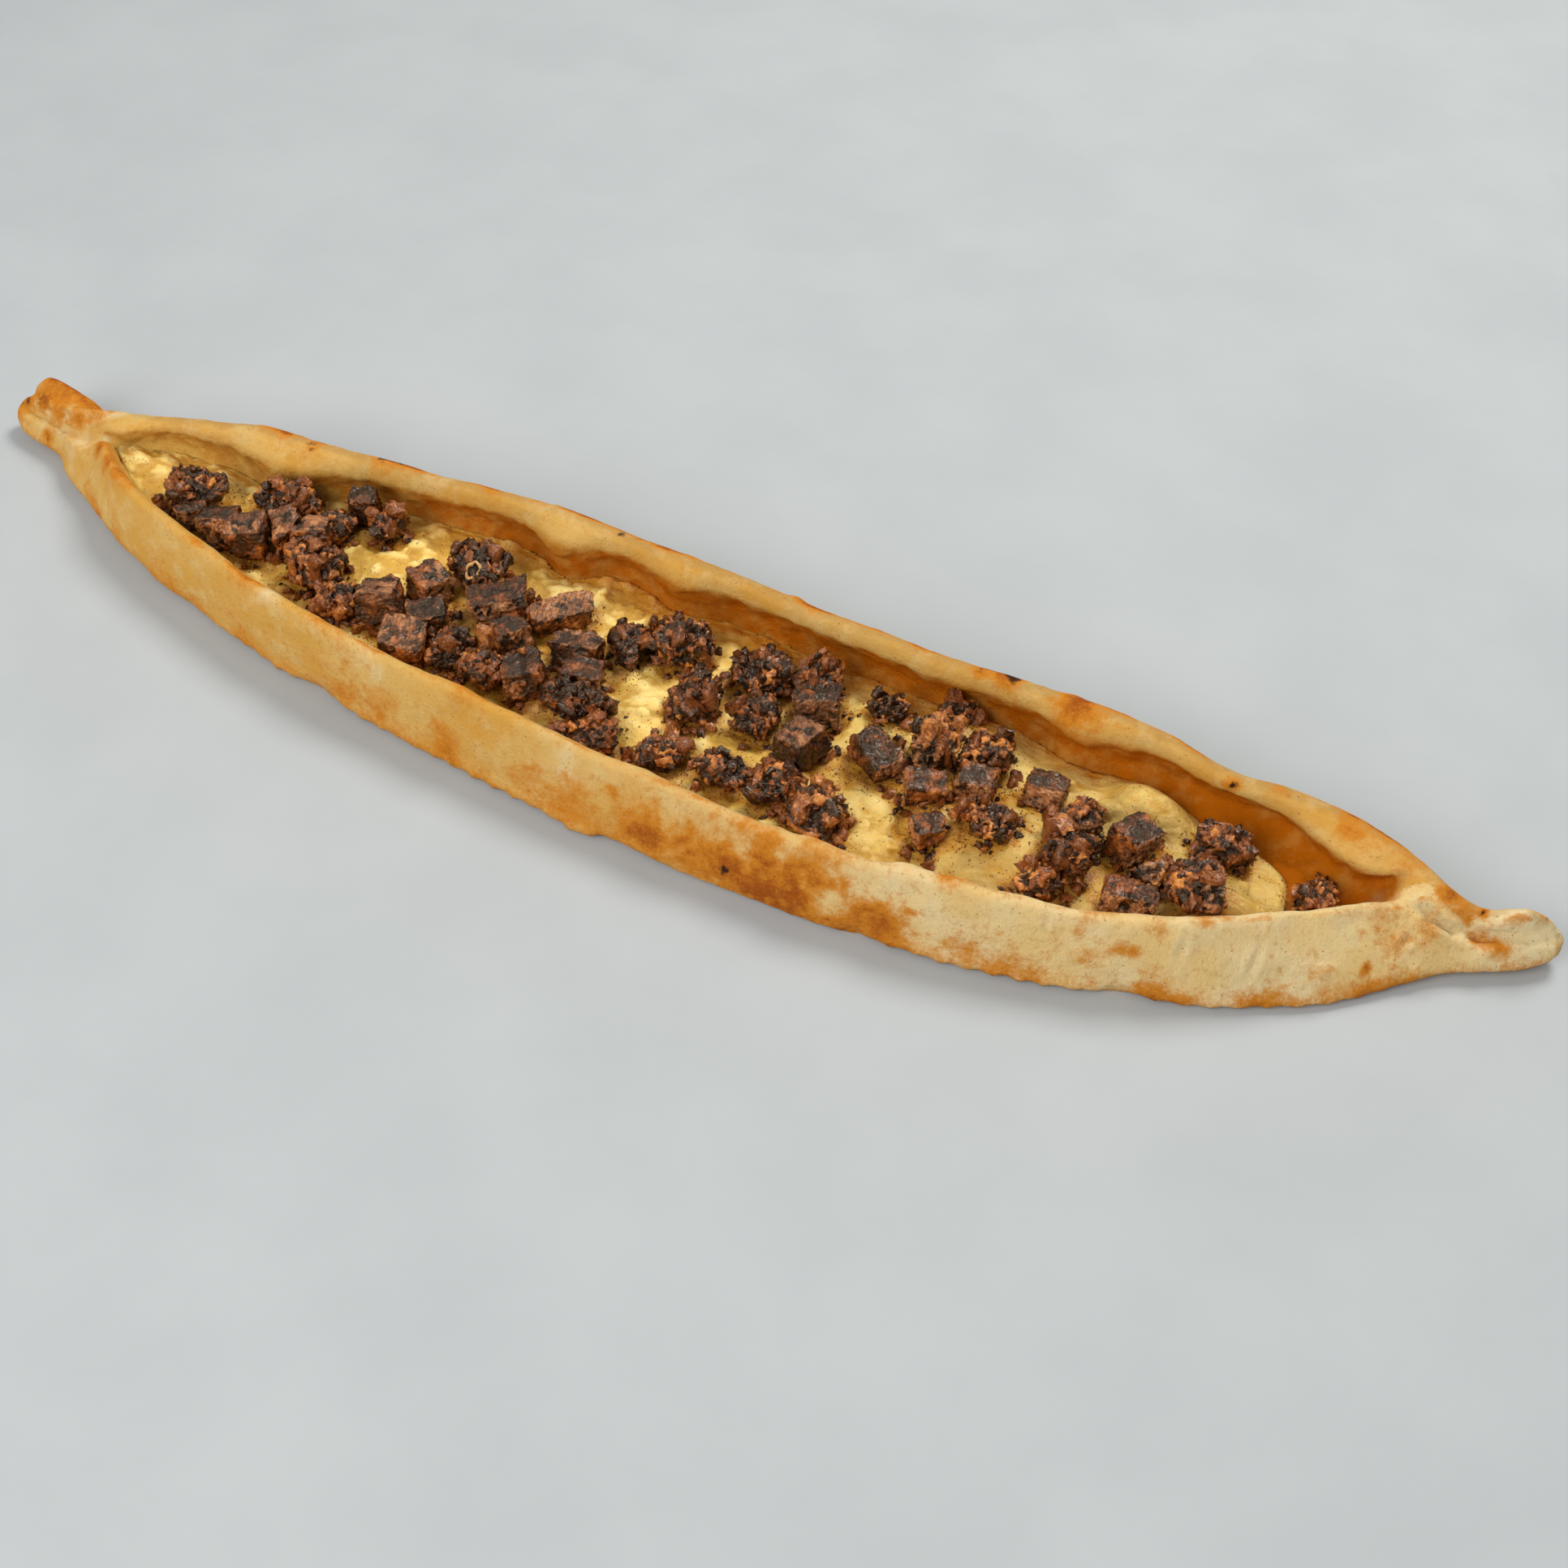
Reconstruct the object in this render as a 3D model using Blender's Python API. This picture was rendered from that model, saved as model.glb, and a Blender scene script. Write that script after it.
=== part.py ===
"""Roast meat and cheese pide: a long boat of baked dough, its melted cheese filling and its cubes of meat.

The dough lies along X, its near side towards -Y, and rests on a flat underside at Z = 0.
Lengths are in millimetres here and become metres where a mesh is made.
"""
import math
import random

import bmesh
import bpy
from mathutils import Matrix, Vector, noise
from mathutils.bvhtree import BVHTree

MM = 0.001
GAP = 0.35

# The boat of dough: where its outline runs, seen from above
LEFT_END = -251.0
RIGHT_END = 247.0
NEAR_SIDE = ((-251, -0.5), (-245, -2), (-237, -4), (-230, -6.5), (-212, -17), (-184, -32), (-154, -43),
             (-98, -57), (-50, -64.5), (11, -72), (64, -73), (112, -68.7), (152, -59.5), (190, -44.6),
             (204, -34.3), (219, -21), (229, -15.6), (238, -10.5), (247, -6))
FAR_CREST = ((-251, 6.5), (-240, 5.5), (-222, 2.5), (-210, 2.5), (-185, 6.5), (-155, 12), (-120, 13),
             (-55, 17.5), (-13, 15), (42, 11), (72, 9), (100, 10), (133, 8.5), (152, 4.3), (172, 4),
             (191, 2.2), (206, -2.5), (219, -6.5), (234, -3.5), (240, -2.5), (247, 0.5))
# How far each rim leans or spreads between its foot and its crest
NEAR_LEAN = ((-251, 3), (-230, 4), (-212, 6), (-204, 12), (-197, 10), (-185, 8), (-150, 6), (-98, 4.5),
             (11, 7.5), (112, 6.5), (152, 7.5), (190, 15.5), (204, 16), (219, 6), (235, 4), (247, 4))
FAR_LEAN = ((-251, 6), (-235, 7), (-190, 10), (190, 10), (215, 8), (235, 7), (247, 6))
# How high each rim stands
NEAR_TOP = ((-251, 9), (-232, 11), (-212, 15), (-207, 17.5), (-202, 22), (-196, 23), (-170, 24), (-100, 24.5),
            (25, 24), (56, 22.5), (90, 23.5), (150, 24), (190, 23), (203, 21), (214, 16), (224, 11),
            (234, 10.5), (247, 11))
FAR_TOP = ((-251, 12), (-240, 14.5), (-222, 18.5), (-205, 21.5), (-185, 24), (-150, 26.6), (100, 26.6),
           (172, 25), (200, 23.5), (214, 21), (222, 17.5), (228, 16), (236, 18.5), (243, 17), (247, 13))

# The open part of the boat, between its two pinched ends
OPEN_LEFT = (-214.0, -200.0)
OPEN_RIGHT = (198.0, 209.0)
FLOOR = 5.5
FLOOR_RISE = 4.5
LEFT_CREASE = 3.0
RIGHT_CREASE = 4.8
NEAR_ROLL = 3.2
FAR_ROLL = 4.2
PINCHED_ROLL = 0.55
FOOT_INSET = 4.0
BELLY = 3.5
SIDE_BULGE = 0.7
# Inside: the run of the near wall down to the floor, the heel of the far wall and the groove behind the flap
WALL_RUN = 1.3
CORNER_RUN = 4.2
HEEL_RISE = 2.2
GROOVE_HEIGHT = 14.0
FLOOR_POINTS = 5
FLOOR_SWELL = 0.4

# The far rim's flap: its lower edge hangs this far in front of the crest, and sags further in at these places
FLAP_EDGE = 2.8
FLAP_HEIGHT = 19.5
FLAP_RECESS = 3.0
FLAP_BELLY = 1.3
SAGS = ((-206, 6.0, 12), (-147, 8.0, 18), (-51, 8.0, 9), (-13, 4.5, 9), (114, 5.0, 13), (191, 9.0, 15))

# The tongue that folds over the left end: its middle, its half sizes and its turn, pitch and roll in degrees
LOBE_CENTRE = (-230.5, 7.2, 11.6)
LOBE_SIZE = (14.5, 3.2, 7.2)
LOBE_TURNS = (-7, 5, -20)
LOBE_BLUNT = 0.75
LOBE_UNEVEN = 0.16

# The near rim is a flap that ends in a free corner at the left: beyond this line, which runs down from the
# corner, the dough under it is drawn in
TUCK_CORNER = (-203.0, 22.0)
TUCK_SLANT = 1.0
TUCK_WIDTH = 4.0
TUCK_DEPTH = 2.6
TUCK_END = -238.0
TUCK_FADE = 14.0

# The far rim folds over the near one at the right: the depth of the join, the lift of the fold's edge above
# the near rim, its swell and the stretch over which it lies
OVERFOLD_JOIN = 1.6
OVERFOLD_LIFT = 1.4
OVERFOLD_SWELL = 1.1
OVERFOLD = (199.0, 206.0, 217.0, 226.0)

# Bare dough between the cheese and the far flap, wide only towards the right end
BARE = ((-251, 0), (90, 0), (125, 3), (150, 8), (170, 14), (183, 20), (247, 20))

# Stations along the boat
TIP_LENGTH = 42.0
TIP_STATIONS = 11
BODY_STATIONS = 62
END_ROUNDING = 9.0
END_LEAST = 0.28
END_MIDDLE_HEIGHT = 7.5

# The cheese
CHEESE_LEFT = -203.0
CHEESE_RIGHT = 183.0
CHEESE_CROWN = 1.0
CHEESE_ACROSS = 14
CHEESE_END = 14.0
PILLOW_FOOT = 2.6
CHEESE_LUMPS = (9.0, 1.3)
# Bubbles and pillows: place, half length, half width, turn in degrees, height
PILLOWS = ((-168, 0, 9, 7, 0, 2.5), (-150, 6, 14, 9, 5, 3.0), (-95, -14, 12, 9, 0, 2.0),
           (0, -38, 34, 8, 10, 3.0), (37, -40, 24, 6, 4, 3.2), (66, -10, 20, 9, -5, 3.4),
           (104, -34, 30, 16, -6, 5.0), (138, -6, 13, 11, 10, 7.5), (160, -29, 22, 8, -18, 4.5),
           (84, 0, 17, 8, 0, 4.0), (118, -44, 14, 6, -15, 2.5))

# The cubes of meat: place, length, width, height, turn in degrees, cube or crumbly
CUBE = 0
CRUMBLY = 1
MEAT = (
    (-165, -15, 17, 13, 10, -15, CRUMBLY), (-160, -23, 9, 8, 8, 35, CUBE), (-150, -23, 11, 9, 9, 15, CUBE),
    (-137, -25, 10, 11, 12, 20, CUBE), (-137, -6, 17, 11, 11, 10, CRUMBLY), (-129, -18, 10, 11, 11, 55, CUBE),
    (-121, -17, 10, 9, 11, 30, CUBE), (-112, -28, 14, 12, 12, 40, CRUMBLY), (-120, -7, 11, 10, 8, 10, CRUMBLY),
    (-116, 3, 9, 8, 12, 25, CUBE), (-105, -1, 8, 8, 9, 0, CRUMBLY), (-99, -36, 11, 10, 8, 50, CRUMBLY),
    (-87, -32, 12, 11, 11, 20, CUBE), (-78, -20, 11, 9, 12, 65, CUBE), (-71, -32, 10, 9, 10, 35, CUBE),
    (-72, -44, 12, 11, 11, 15, CUBE), (-60, -39, 12, 9, 9, 70, CRUMBLY), (-47, -43, 11, 9, 9, 40, CRUMBLY),
    (-70, -6, 13, 12, 12, 45, CRUMBLY), (-56, -18, 15, 11, 11, 35, CUBE), (-47, -28, 11, 9, 10, 60, CUBE),
    (-39, -13, 17, 8, 9, 50, CUBE), (-27, -24, 14, 9, 9, 5, CUBE), (-34, -41, 11, 11, 11, 30, CUBE),
    (-20, -34, 10, 9, 8, 20, CUBE), (-17, -44, 18, 8, 9, 0, CRUMBLY), (-8, -53, 14, 8, 9, 5, CRUMBLY),
    (-15, -14, 8, 14, 9, 20, CRUMBLY), (-2, -8, 15, 13, 12, 30, CRUMBLY), (12, -28, 13, 12, 11, 60, CRUMBLY),
    (25, -9, 16, 12, 11, 10, CRUMBLY), (39, -4, 12, 9, 11, 70, CRUMBLY), (43, -14, 12, 9, 10, 20, CUBE),
    (31, -26, 9, 12, 10, 15, CRUMBLY), (46, -31, 12, 10, 11, 70, CUBE), (61, -6, 10, 8, 6, 10, CRUMBLY),
    (65, -24, 14, 9, 9, -35, CUBE), (13, -49, 11, 9, 8, 25, CRUMBLY), (30, -48, 13, 8, 8, 5, CRUMBLY),
    (46, -46, 10, 9, 8, 60, CRUMBLY), (59, -51, 14, 13, 11, 35, CRUMBLY), (88, -44, 8, 7, 7, 45, CUBE),
    (79, 2, 9, 7, 6, 35, CRUMBLY), (79, -16, 11, 11, 11, 15, CRUMBLY), (92, -12, 13, 11, 11, 50, CRUMBLY),
    (94, -24, 10, 8, 8, 10, CUBE), (82, -32, 10, 8, 9, 25, CUBE), (102, -36, 14, 9, 6, -20, CRUMBLY),
    (111, -16, 10, 9, 9, 10, CUBE),
    (123, -24, 12, 10, 10, 60, CRUMBLY), (138, -24, 12, 10, 10, 65, CUBE), (124, -38, 12, 11, 11, 10, CRUMBLY),
    (121, -48, 10, 8, 8, 40, CRUMBLY), (143, -42, 13, 9, 8, 10, CUBE), (146, -33, 12, 7, 8, 35, CRUMBLY),
    (158, -34, 12, 12, 12, 30, CRUMBLY), (159, -14, 12, 10, 10, 15, CRUMBLY), (186, -17, 10, 8, 6, 70, CRUMBLY),
)

# How much the lumps swell over their named sizes, by kind, and how far a cut cube narrows or widens upwards
LUMP_SWELL = (1.05, 1.14)
TAPER = 0.15

# A lump's height is the mean of what lies below these spots round its middle
SEAT_SPOTS = ((0, 0), (3, 0), (-3, 0), (0, 3), (0, -3))

# Heights to look down from: over the whole boat, or from under the far rim for a lump that lies below it
ABOVE_ALL = 60.0
UNDER_RIM = 17.5
NEAR_THE_FLAP = 4.5

# Crumbs of meat that stick in the cheese: patches of them (place, half length, half width, how many),
# and some loose ones round the lumps
CRUMB_PATCHES = ((-28, 6, 12, 4, 7), (31, 5, 11, 4, 6), (78, -44, 10, 3, 4))
LOOSE_CRUMBS = 12
CRUMB_TRIES = 60
CRUMB_SIZE = (1.6, 2.8)
CRUMB_SPREAD = (2.0, 8.0)


def clamp(value, low=0.0, high=1.0):
    return max(low, min(high, value))


def smoothstep(low, high, value):
    t = clamp((value - low) / (high - low))
    return t * t * (3.0 - 2.0 * t)


def mix(a, b, t):
    return a + (b - a) * t


def bump(distance, half_width):
    return math.exp(-(distance / half_width) ** 2)


def along(table, x):
    """Read a table of (x, value) rows as one smooth curve."""
    x = clamp(x, table[0][0], table[-1][0])
    i = 0
    while i < len(table) - 2 and table[i + 1][0] < x:
        i += 1
    x0, y0 = table[i]
    x1, y1 = table[i + 1]
    slope = (y1 - y0) / (x1 - x0)
    before = slope
    after = slope
    if i > 0:
        before = (y1 - table[i - 1][1]) / (x1 - table[i - 1][0])
    if i < len(table) - 2:
        after = (table[i + 2][1] - y0) / (table[i + 2][0] - x0)
    span = x1 - x0
    t = (x - x0) / span
    return ((1 + 2 * t) * (1 - t) ** 2 * y0 + t * (1 - t) ** 2 * span * before
            + t * t * (3 - 2 * t) * y1 + t * t * (t - 1) * span * after)


def wave(x, seed, scale, size):
    return size * noise.noise(Vector((x / scale, seed * 7.3, seed * 3.1)))


def openness(x):
    return smoothstep(*OPEN_LEFT, x) * (1.0 - smoothstep(*OPEN_RIGHT, x))


def overfold(x):
    start, full, last, end = OVERFOLD
    return smoothstep(start, full, x) * (1.0 - smoothstep(last, end, x))


def tucked(x, z):
    """How far the outside of the near rim is drawn in at (x, z), beyond its free corner."""
    line = TUCK_CORNER[0] - TUCK_SLANT * (TUCK_CORNER[1] - z)
    return TUCK_DEPTH * smoothstep(line, line - TUCK_WIDTH, x) * smoothstep(TUCK_END, TUCK_END + TUCK_FADE, x)


def end_size(x):
    """How much of its full section each end still has: all of it, but for the last few millimetres."""
    reach = clamp(min(x - LEFT_END, RIGHT_END - x) / END_ROUNDING)
    return max(END_LEAST, math.sqrt(1.0 - (1.0 - reach) ** 2))


def crust_section(x):
    """The (y, z) ring of the dough at x, from the near foot over both rims and back underneath."""
    opened = openness(x)
    near_side = along(NEAR_SIDE, x) + wave(x, 1, 23, 1.0) * opened
    near_top = along(NEAR_TOP, x) + wave(x, 2, 19, 1.1) * opened
    near_crest = near_side + along(NEAR_LEAN, x)
    far_crest = along(FAR_CREST, x)
    far_top = along(FAR_TOP, x) + wave(x, 3, 21, 1.2) * opened
    far_side = far_crest + along(FAR_LEAN, x) + wave(x, 4, 27, 1.2) * opened
    near_roll = NEAR_ROLL * mix(PINCHED_ROLL, 1.0, opened)
    far_roll = FAR_ROLL * mix(PINCHED_ROLL, 1.0, opened)

    ends = (1.0 - smoothstep(-205, -170, x)) + smoothstep(188, 208, x)
    floor = FLOOR + FLOOR_RISE * ends
    edge = far_crest - FLAP_EDGE - sum(sag * bump(x - place, width) for place, sag, width in SAGS)
    edge = min(edge, far_side - 6.0)
    bare = along(BARE, x)
    inner = near_crest + near_roll
    near_corner = inner + CORNER_RUN
    far_corner = max(edge + 1.5 - bare, near_corner + 2.0)
    recess = max(edge + FLAP_RECESS, far_corner + 0.4)
    far_heel = floor + HEEL_RISE

    open_inside = [
        (inner, near_top - 1.1 * near_roll),
        (inner + WALL_RUN, mix(near_top, floor, 0.52)),
        (near_corner, floor + 0.9),
    ]
    for step in range(1, FLOOR_POINTS):
        t = step / FLOOR_POINTS
        swell = FLOOR_SWELL * math.cos(math.tau * t)
        open_inside.append((mix(near_corner, far_corner, t), floor + swell))
    open_inside += [
        (far_corner, far_heel),
        (mix(far_corner, recess, 0.55), mix(far_heel, GROOVE_HEIGHT, 0.45)),
        (recess, GROOVE_HEIGHT),
        (edge, FLAP_HEIGHT),
        (mix(edge, far_crest - 0.5 * far_roll, 0.3) - FLAP_BELLY, mix(FLAP_HEIGHT, far_top, 0.38)),
        (mix(edge, far_crest - 0.5 * far_roll, 0.75) - 0.4 * FLAP_BELLY, mix(FLAP_HEIGHT, far_top, 0.82)),
    ]
    depth = (LEFT_CREASE if x < 0 else RIGHT_CREASE) * smoothstep(END_LEAST, 1.0, end_size(x))
    first = (near_crest + near_roll, near_top - 0.9 * near_roll)
    last = (far_crest - far_roll, far_top - 0.9 * far_roll)
    last = (max(last[0], first[0] + 1.5), last[1])
    count = len(open_inside)
    folded = overfold(x)
    shut_inside = []
    for step in range(count):
        t = step / (count - 1)
        valley = depth * math.sin(math.pi * t) ** 1.5
        plain = mix(first[1], last[1], t) - valley
        over = mix(near_top + OVERFOLD_LIFT, far_top - 0.4, t) + OVERFOLD_SWELL * math.sin(math.pi * t)
        if step == 0:
            over = near_top - OVERFOLD_JOIN
        shut_inside.append((mix(first[0], last[0], t), mix(plain, over, folded)))
    inside = [(mix(a[0], b[0], opened), mix(a[1], b[1], opened))
              for a, b in zip(shut_inside, open_inside)]

    near_foot = near_side + FOOT_INSET
    far_foot_y = far_side - FOOT_INSET
    middle = mix(near_foot, far_foot_y, 0.5)
    outside = [
        (near_side, BELLY),
        (mix(near_side, near_crest - near_roll, 0.42) - SIDE_BULGE, near_top * 0.5),
        (near_crest - near_roll, near_top - near_roll),
    ]
    ring = [(near_foot, 0.0)]
    ring += [(y + tucked(x, z), z) for y, z in outside]
    ring.append((near_crest - 0.1 * near_roll, near_top))
    ring += inside
    ring += [
        (far_crest + 0.1 * far_roll, far_top),
        (far_crest + far_roll, far_top - far_roll),
        (mix(far_crest + far_roll, far_side, 0.6) + SIDE_BULGE, far_top * 0.48),
        (far_side, BELLY),
        (far_foot_y, 0.0),
        (mix(middle, far_foot_y, 0.5), 0.0),
        (middle, 0.0),
        (mix(middle, near_foot, 0.5), 0.0),
    ]
    return ring


INSIDE_FIRST = 5
NEAR_INNER = INSIDE_FIRST + 1
FAR_SLOPE = INSIDE_FIRST + 8


def rounded_end(x, ring):
    """Draw the last few millimetres of each end in to a blunt, rounded tip."""
    size = end_size(x)
    y_middle = sum(y for y, z in ring) / len(ring)
    return [(mix(y_middle, y, size), mix(END_MIDDLE_HEIGHT, z, size)) for y, z in ring]


def stations():
    body_start = LEFT_END + TIP_LENGTH
    body_end = RIGHT_END - TIP_LENGTH
    left = [mix(LEFT_END, body_start, (i / TIP_STATIONS) ** 1.3) for i in range(TIP_STATIONS)]
    body = [mix(body_start, body_end, i / BODY_STATIONS) for i in range(BODY_STATIONS + 1)]
    right = [mix(RIGHT_END, body_end, (i / TIP_STATIONS) ** 1.3) for i in range(TIP_STATIONS)]
    return left + body + right[::-1]


def loft(name, rings, places):
    """Join rings of (y, z) at each x into one closed mesh of triangles."""
    mesh = bmesh.new()
    rows = []
    for x, ring in zip(places, rings):
        rows.append([mesh.verts.new((x * MM, y * MM, z * MM)) for y, z in ring])
    count = len(rings[0])
    for row, following in zip(rows, rows[1:]):
        for j in range(count):
            k = (j + 1) % count
            mesh.faces.new((row[j], row[k], following[k]))
            mesh.faces.new((row[j], following[k], following[j]))
    for row in (rows[0], rows[-1]):
        centre = sum((vert.co for vert in row), Vector()) / count
        middle = mesh.verts.new(centre)
        for j in range(count):
            mesh.faces.new((row[j], row[(j + 1) % count], middle))
    return finish(name, mesh)


def finish(name, mesh):
    bmesh.ops.recalc_face_normals(mesh, faces=mesh.faces)
    if mesh.calc_volume(signed=True) < 0:
        bmesh.ops.reverse_faces(mesh, faces=mesh.faces)
    data = bpy.data.meshes.new(name)
    mesh.to_mesh(data)
    mesh.free()
    data.shade_smooth()
    piece = bpy.data.objects.new(name, data)
    bpy.context.scene.collection.objects.link(piece)
    return piece


def material(name, colour, roughness):
    made = bpy.data.materials.new(name)
    made.use_nodes = True
    shader = made.node_tree.nodes["Principled BSDF"]
    shader.inputs["Base Color"].default_value = (*colour, 1.0)
    shader.inputs["Roughness"].default_value = roughness
    shader.inputs["Metallic"].default_value = 0.0
    return made


def join_into(piece, extras):
    """Fuse the extras with the piece into one closed body."""
    group = bpy.data.collections.new(piece.name + "_extras")
    bpy.context.scene.collection.children.link(group)
    for extra in extras:
        for owner in list(extra.users_collection):
            owner.objects.unlink(extra)
        group.objects.link(extra)
    union = piece.modifiers.new("fuse", "BOOLEAN")
    union.operation = "UNION"
    union.operand_type = "COLLECTION"
    union.collection = group
    union.solver = "MANIFOLD"
    bpy.context.view_layer.update()
    graph = bpy.context.evaluated_depsgraph_get()
    fused = bpy.data.meshes.new_from_object(piece.evaluated_get(graph))
    piece.modifiers.clear()
    piece.data = fused
    for extra in extras:
        bpy.data.objects.remove(extra)
    bpy.data.collections.remove(group)


def lobe(name):
    """The flattened, slightly uneven tongue of dough that folds over the left end."""
    mesh = bmesh.new()
    bmesh.ops.create_icosphere(mesh, subdivisions=3, radius=1.0)
    turn, pitch, roll = (math.radians(angle) for angle in LOBE_TURNS)
    place = (Matrix.Translation(Vector(LOBE_CENTRE)) @ Matrix.Rotation(turn, 4, "Z")
             @ Matrix.Rotation(pitch, 4, "Y") @ Matrix.Rotation(roll, 4, "X"))
    for vert in mesh.verts:
        grain = 1.0 + LOBE_UNEVEN * noise.noise(vert.co * 1.7 + Vector((2.0, 0, 0)))
        blunt = [math.copysign(abs(v) ** LOBE_BLUNT, v) for v in vert.co]
        shaped = Vector([v * s for v, s in zip(blunt, LOBE_SIZE)]) * grain
        vert.co = (place @ shaped) * MM
    return finish(name, mesh)


def build_crust():
    places = stations()
    rings = [rounded_end(x, crust_section(x)) for x in places]
    crust = loft("crust", rings, places)
    join_into(crust, [lobe("upper_lobe")])
    crust.data.shade_smooth()
    crust.data.materials.clear()
    crust.data.materials.append(material("baked_dough", (0.69, 0.42, 0.15), 0.62))
    return crust


def pillow_height(x, y):
    """The height that the bubbles and pillows add to the cheese at a place."""
    height = 0.0
    for px, py, half_long, half_wide, turn, rise in PILLOWS:
        c = math.cos(math.radians(turn))
        s = math.sin(math.radians(turn))
        u = ((x - px) * c + (y - py) * s) / half_long
        v = ((y - py) * c - (x - px) * s) / half_wide
        reach = u * u + v * v
        if reach < 1.0:
            height = max(height, rise * (1.0 - reach) ** 0.75)
    return height


def cheese_section(x):
    """The ring of the cheese at x: its underside follows the dough, and its top is lumpy."""
    dough = crust_section(x)
    under = dough[NEAR_INNER:FAR_SLOPE + 1]
    near = under[0]
    corner = under[1]
    far = under[-1]
    heel = under[-2]
    under[0] = (mix(near[0], corner[0], 0.35), mix(near[1], corner[1], 0.35))
    under[-1] = (mix(heel[0], far[0], 0.6), mix(heel[1], far[1], 0.6))
    lifted = []
    for j, (y, z) in enumerate(under):
        a = under[max(j - 1, 0)]
        b = under[min(j + 1, len(under) - 1)]
        run = math.hypot(b[0] - a[0], b[1] - a[1])
        lifted.append((y - (b[1] - a[1]) / run * GAP * 1.25, z + (b[0] - a[0]) / run * GAP * 1.25))
    first = lifted[0]
    last = lifted[-1]
    ends = smoothstep(0, CHEESE_END, x - CHEESE_LEFT) * smoothstep(0, CHEESE_END, CHEESE_RIGHT - x)
    spacing, size = CHEESE_LUMPS
    top = []
    for step in range(1, CHEESE_ACROSS):
        t = step / CHEESE_ACROSS
        y = mix(last[0], first[0], t)
        arch = math.sin(math.pi * t) ** 0.7
        crown = CHEESE_CROWN + size * noise.noise(Vector((x / spacing, y / spacing, 4.0)))
        foot = min(1.0, PILLOW_FOOT * math.sin(math.pi * t))
        risen = (crown * arch + pillow_height(x, y) * foot) * ends
        z = mix(last[1], first[1], t) + risen + 0.5 * arch
        top.append((y, z))
    return lifted + top


def crumb_place(draw, patch):
    """A place drawn inside a patch of crumbs, or close to some lump of meat."""
    if patch is not None:
        x, y, half_long, half_wide, _ = patch
        return x + draw.uniform(-half_long, half_long), y + draw.uniform(-half_wide, half_wide)
    x, y, length = draw.choice(MEAT)[:3]
    angle = draw.uniform(0, math.tau)
    reach = 0.5 * length + draw.uniform(*CRUMB_SPREAD)
    return x + reach * math.cos(angle), y + reach * math.sin(angle)


def crumb_fits(x, y, size, kept):
    """True where a crumb lies on the cheese, clear of every lump and of the other crumbs."""
    if not CHEESE_LEFT + 8 < x < CHEESE_RIGHT - 10:
        return False
    top = cheese_section(x)[-(CHEESE_ACROSS - 1):]
    if not top[-1][0] + size + 1.5 < y < top[0][0] - size - 1.5:
        return False
    for row in MEAT:
        if math.hypot(x - row[0], y - row[1]) < 0.36 * (row[2] + row[3]) + size + 1.0:
            return False
    return all(math.hypot(x - a, y - b) > size + other + 1.2 for a, b, other in kept)


def crumb(x, y, size, top, seed):
    mesh = bmesh.new()
    bmesh.ops.create_icosphere(mesh, subdivisions=1, radius=1.0)
    turn = Matrix.Rotation(seed * 1.7, 3, "Z")
    for vert in mesh.verts:
        grain = 1.0 + 0.5 * noise.noise(vert.co * 1.4 + Vector((seed, 0, 0)))
        shaped = Vector((vert.co.x * 1.2, vert.co.y, vert.co.z * 0.85)) * size * grain
        vert.co = (Vector((x, y, top + 0.1 * size)) + turn @ shaped) * MM
    return finish("crumb", mesh)


def crumbs(cheese):
    """Small crumbs strewn in patches and close round the lumps of meat."""
    tree = surface(cheese)
    draw = random.Random(5)
    patches = [patch for patch in CRUMB_PATCHES for _ in range(patch[4])] + [None] * LOOSE_CRUMBS
    kept = []
    pieces = []
    for patch in patches:
        size = draw.uniform(*CRUMB_SIZE)
        for _ in range(CRUMB_TRIES):
            x, y = crumb_place(draw, patch)
            if crumb_fits(x, y, size, kept):
                kept.append((x, y, size))
                pieces.append(crumb(x, y, size, height_at([tree], x, y), len(kept)))
                break
    return pieces


def build_cheese():
    places = [x for x in stations() if CHEESE_LEFT <= x <= CHEESE_RIGHT]
    cheese = loft("cheese", [cheese_section(x) for x in places], places)
    join_into(cheese, crumbs(cheese))
    cheese.data.shade_smooth()
    cheese.data.materials.clear()
    cheese.data.materials.append(material("melted_cheese", (0.70, 0.52, 0.20), 0.45))
    return cheese


def surface(piece):
    mesh = bmesh.new()
    mesh.from_mesh(piece.data)
    tree = BVHTree.FromBMesh(mesh)
    mesh.free()
    return tree


def height_at(trees, x, y, start=ABOVE_ALL):
    """The highest surface below a point held above the filling, in millimetres."""
    heights = []
    for tree in trees:
        hit = tree.ray_cast(Vector((x * MM, y * MM, start * MM)), Vector((0, 0, -1)))[0]
        if hit is not None:
            heights.append(hit.z / MM)
    return max(heights)


def lump_points(kind, seed):
    """A unit lump of meat: a cut cube, or a torn and crumbly one."""
    mesh = bmesh.new()
    if kind == CUBE:
        bmesh.ops.create_cube(mesh, size=2.0)
        bmesh.ops.subdivide_edges(mesh, edges=mesh.edges, cuts=2, use_grid_fill=True)
        rounding = 0.2
        rough = 0.2
        grain = 1.3
    else:
        bmesh.ops.create_icosphere(mesh, subdivisions=2, radius=1.12)
        rounding = 0.0
        rough = 0.42
        grain = 1.9
    for vert in mesh.verts:
        ball = vert.co.normalized() * 1.18
        point = vert.co.lerp(ball, rounding)
        push = noise.noise(vert.co * grain + Vector((seed * 5.7, seed * 2.3, 0)))
        vert.co = point * (1.0 + rough * push)
    bmesh.ops.triangulate(mesh, faces=mesh.faces)
    return mesh


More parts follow.
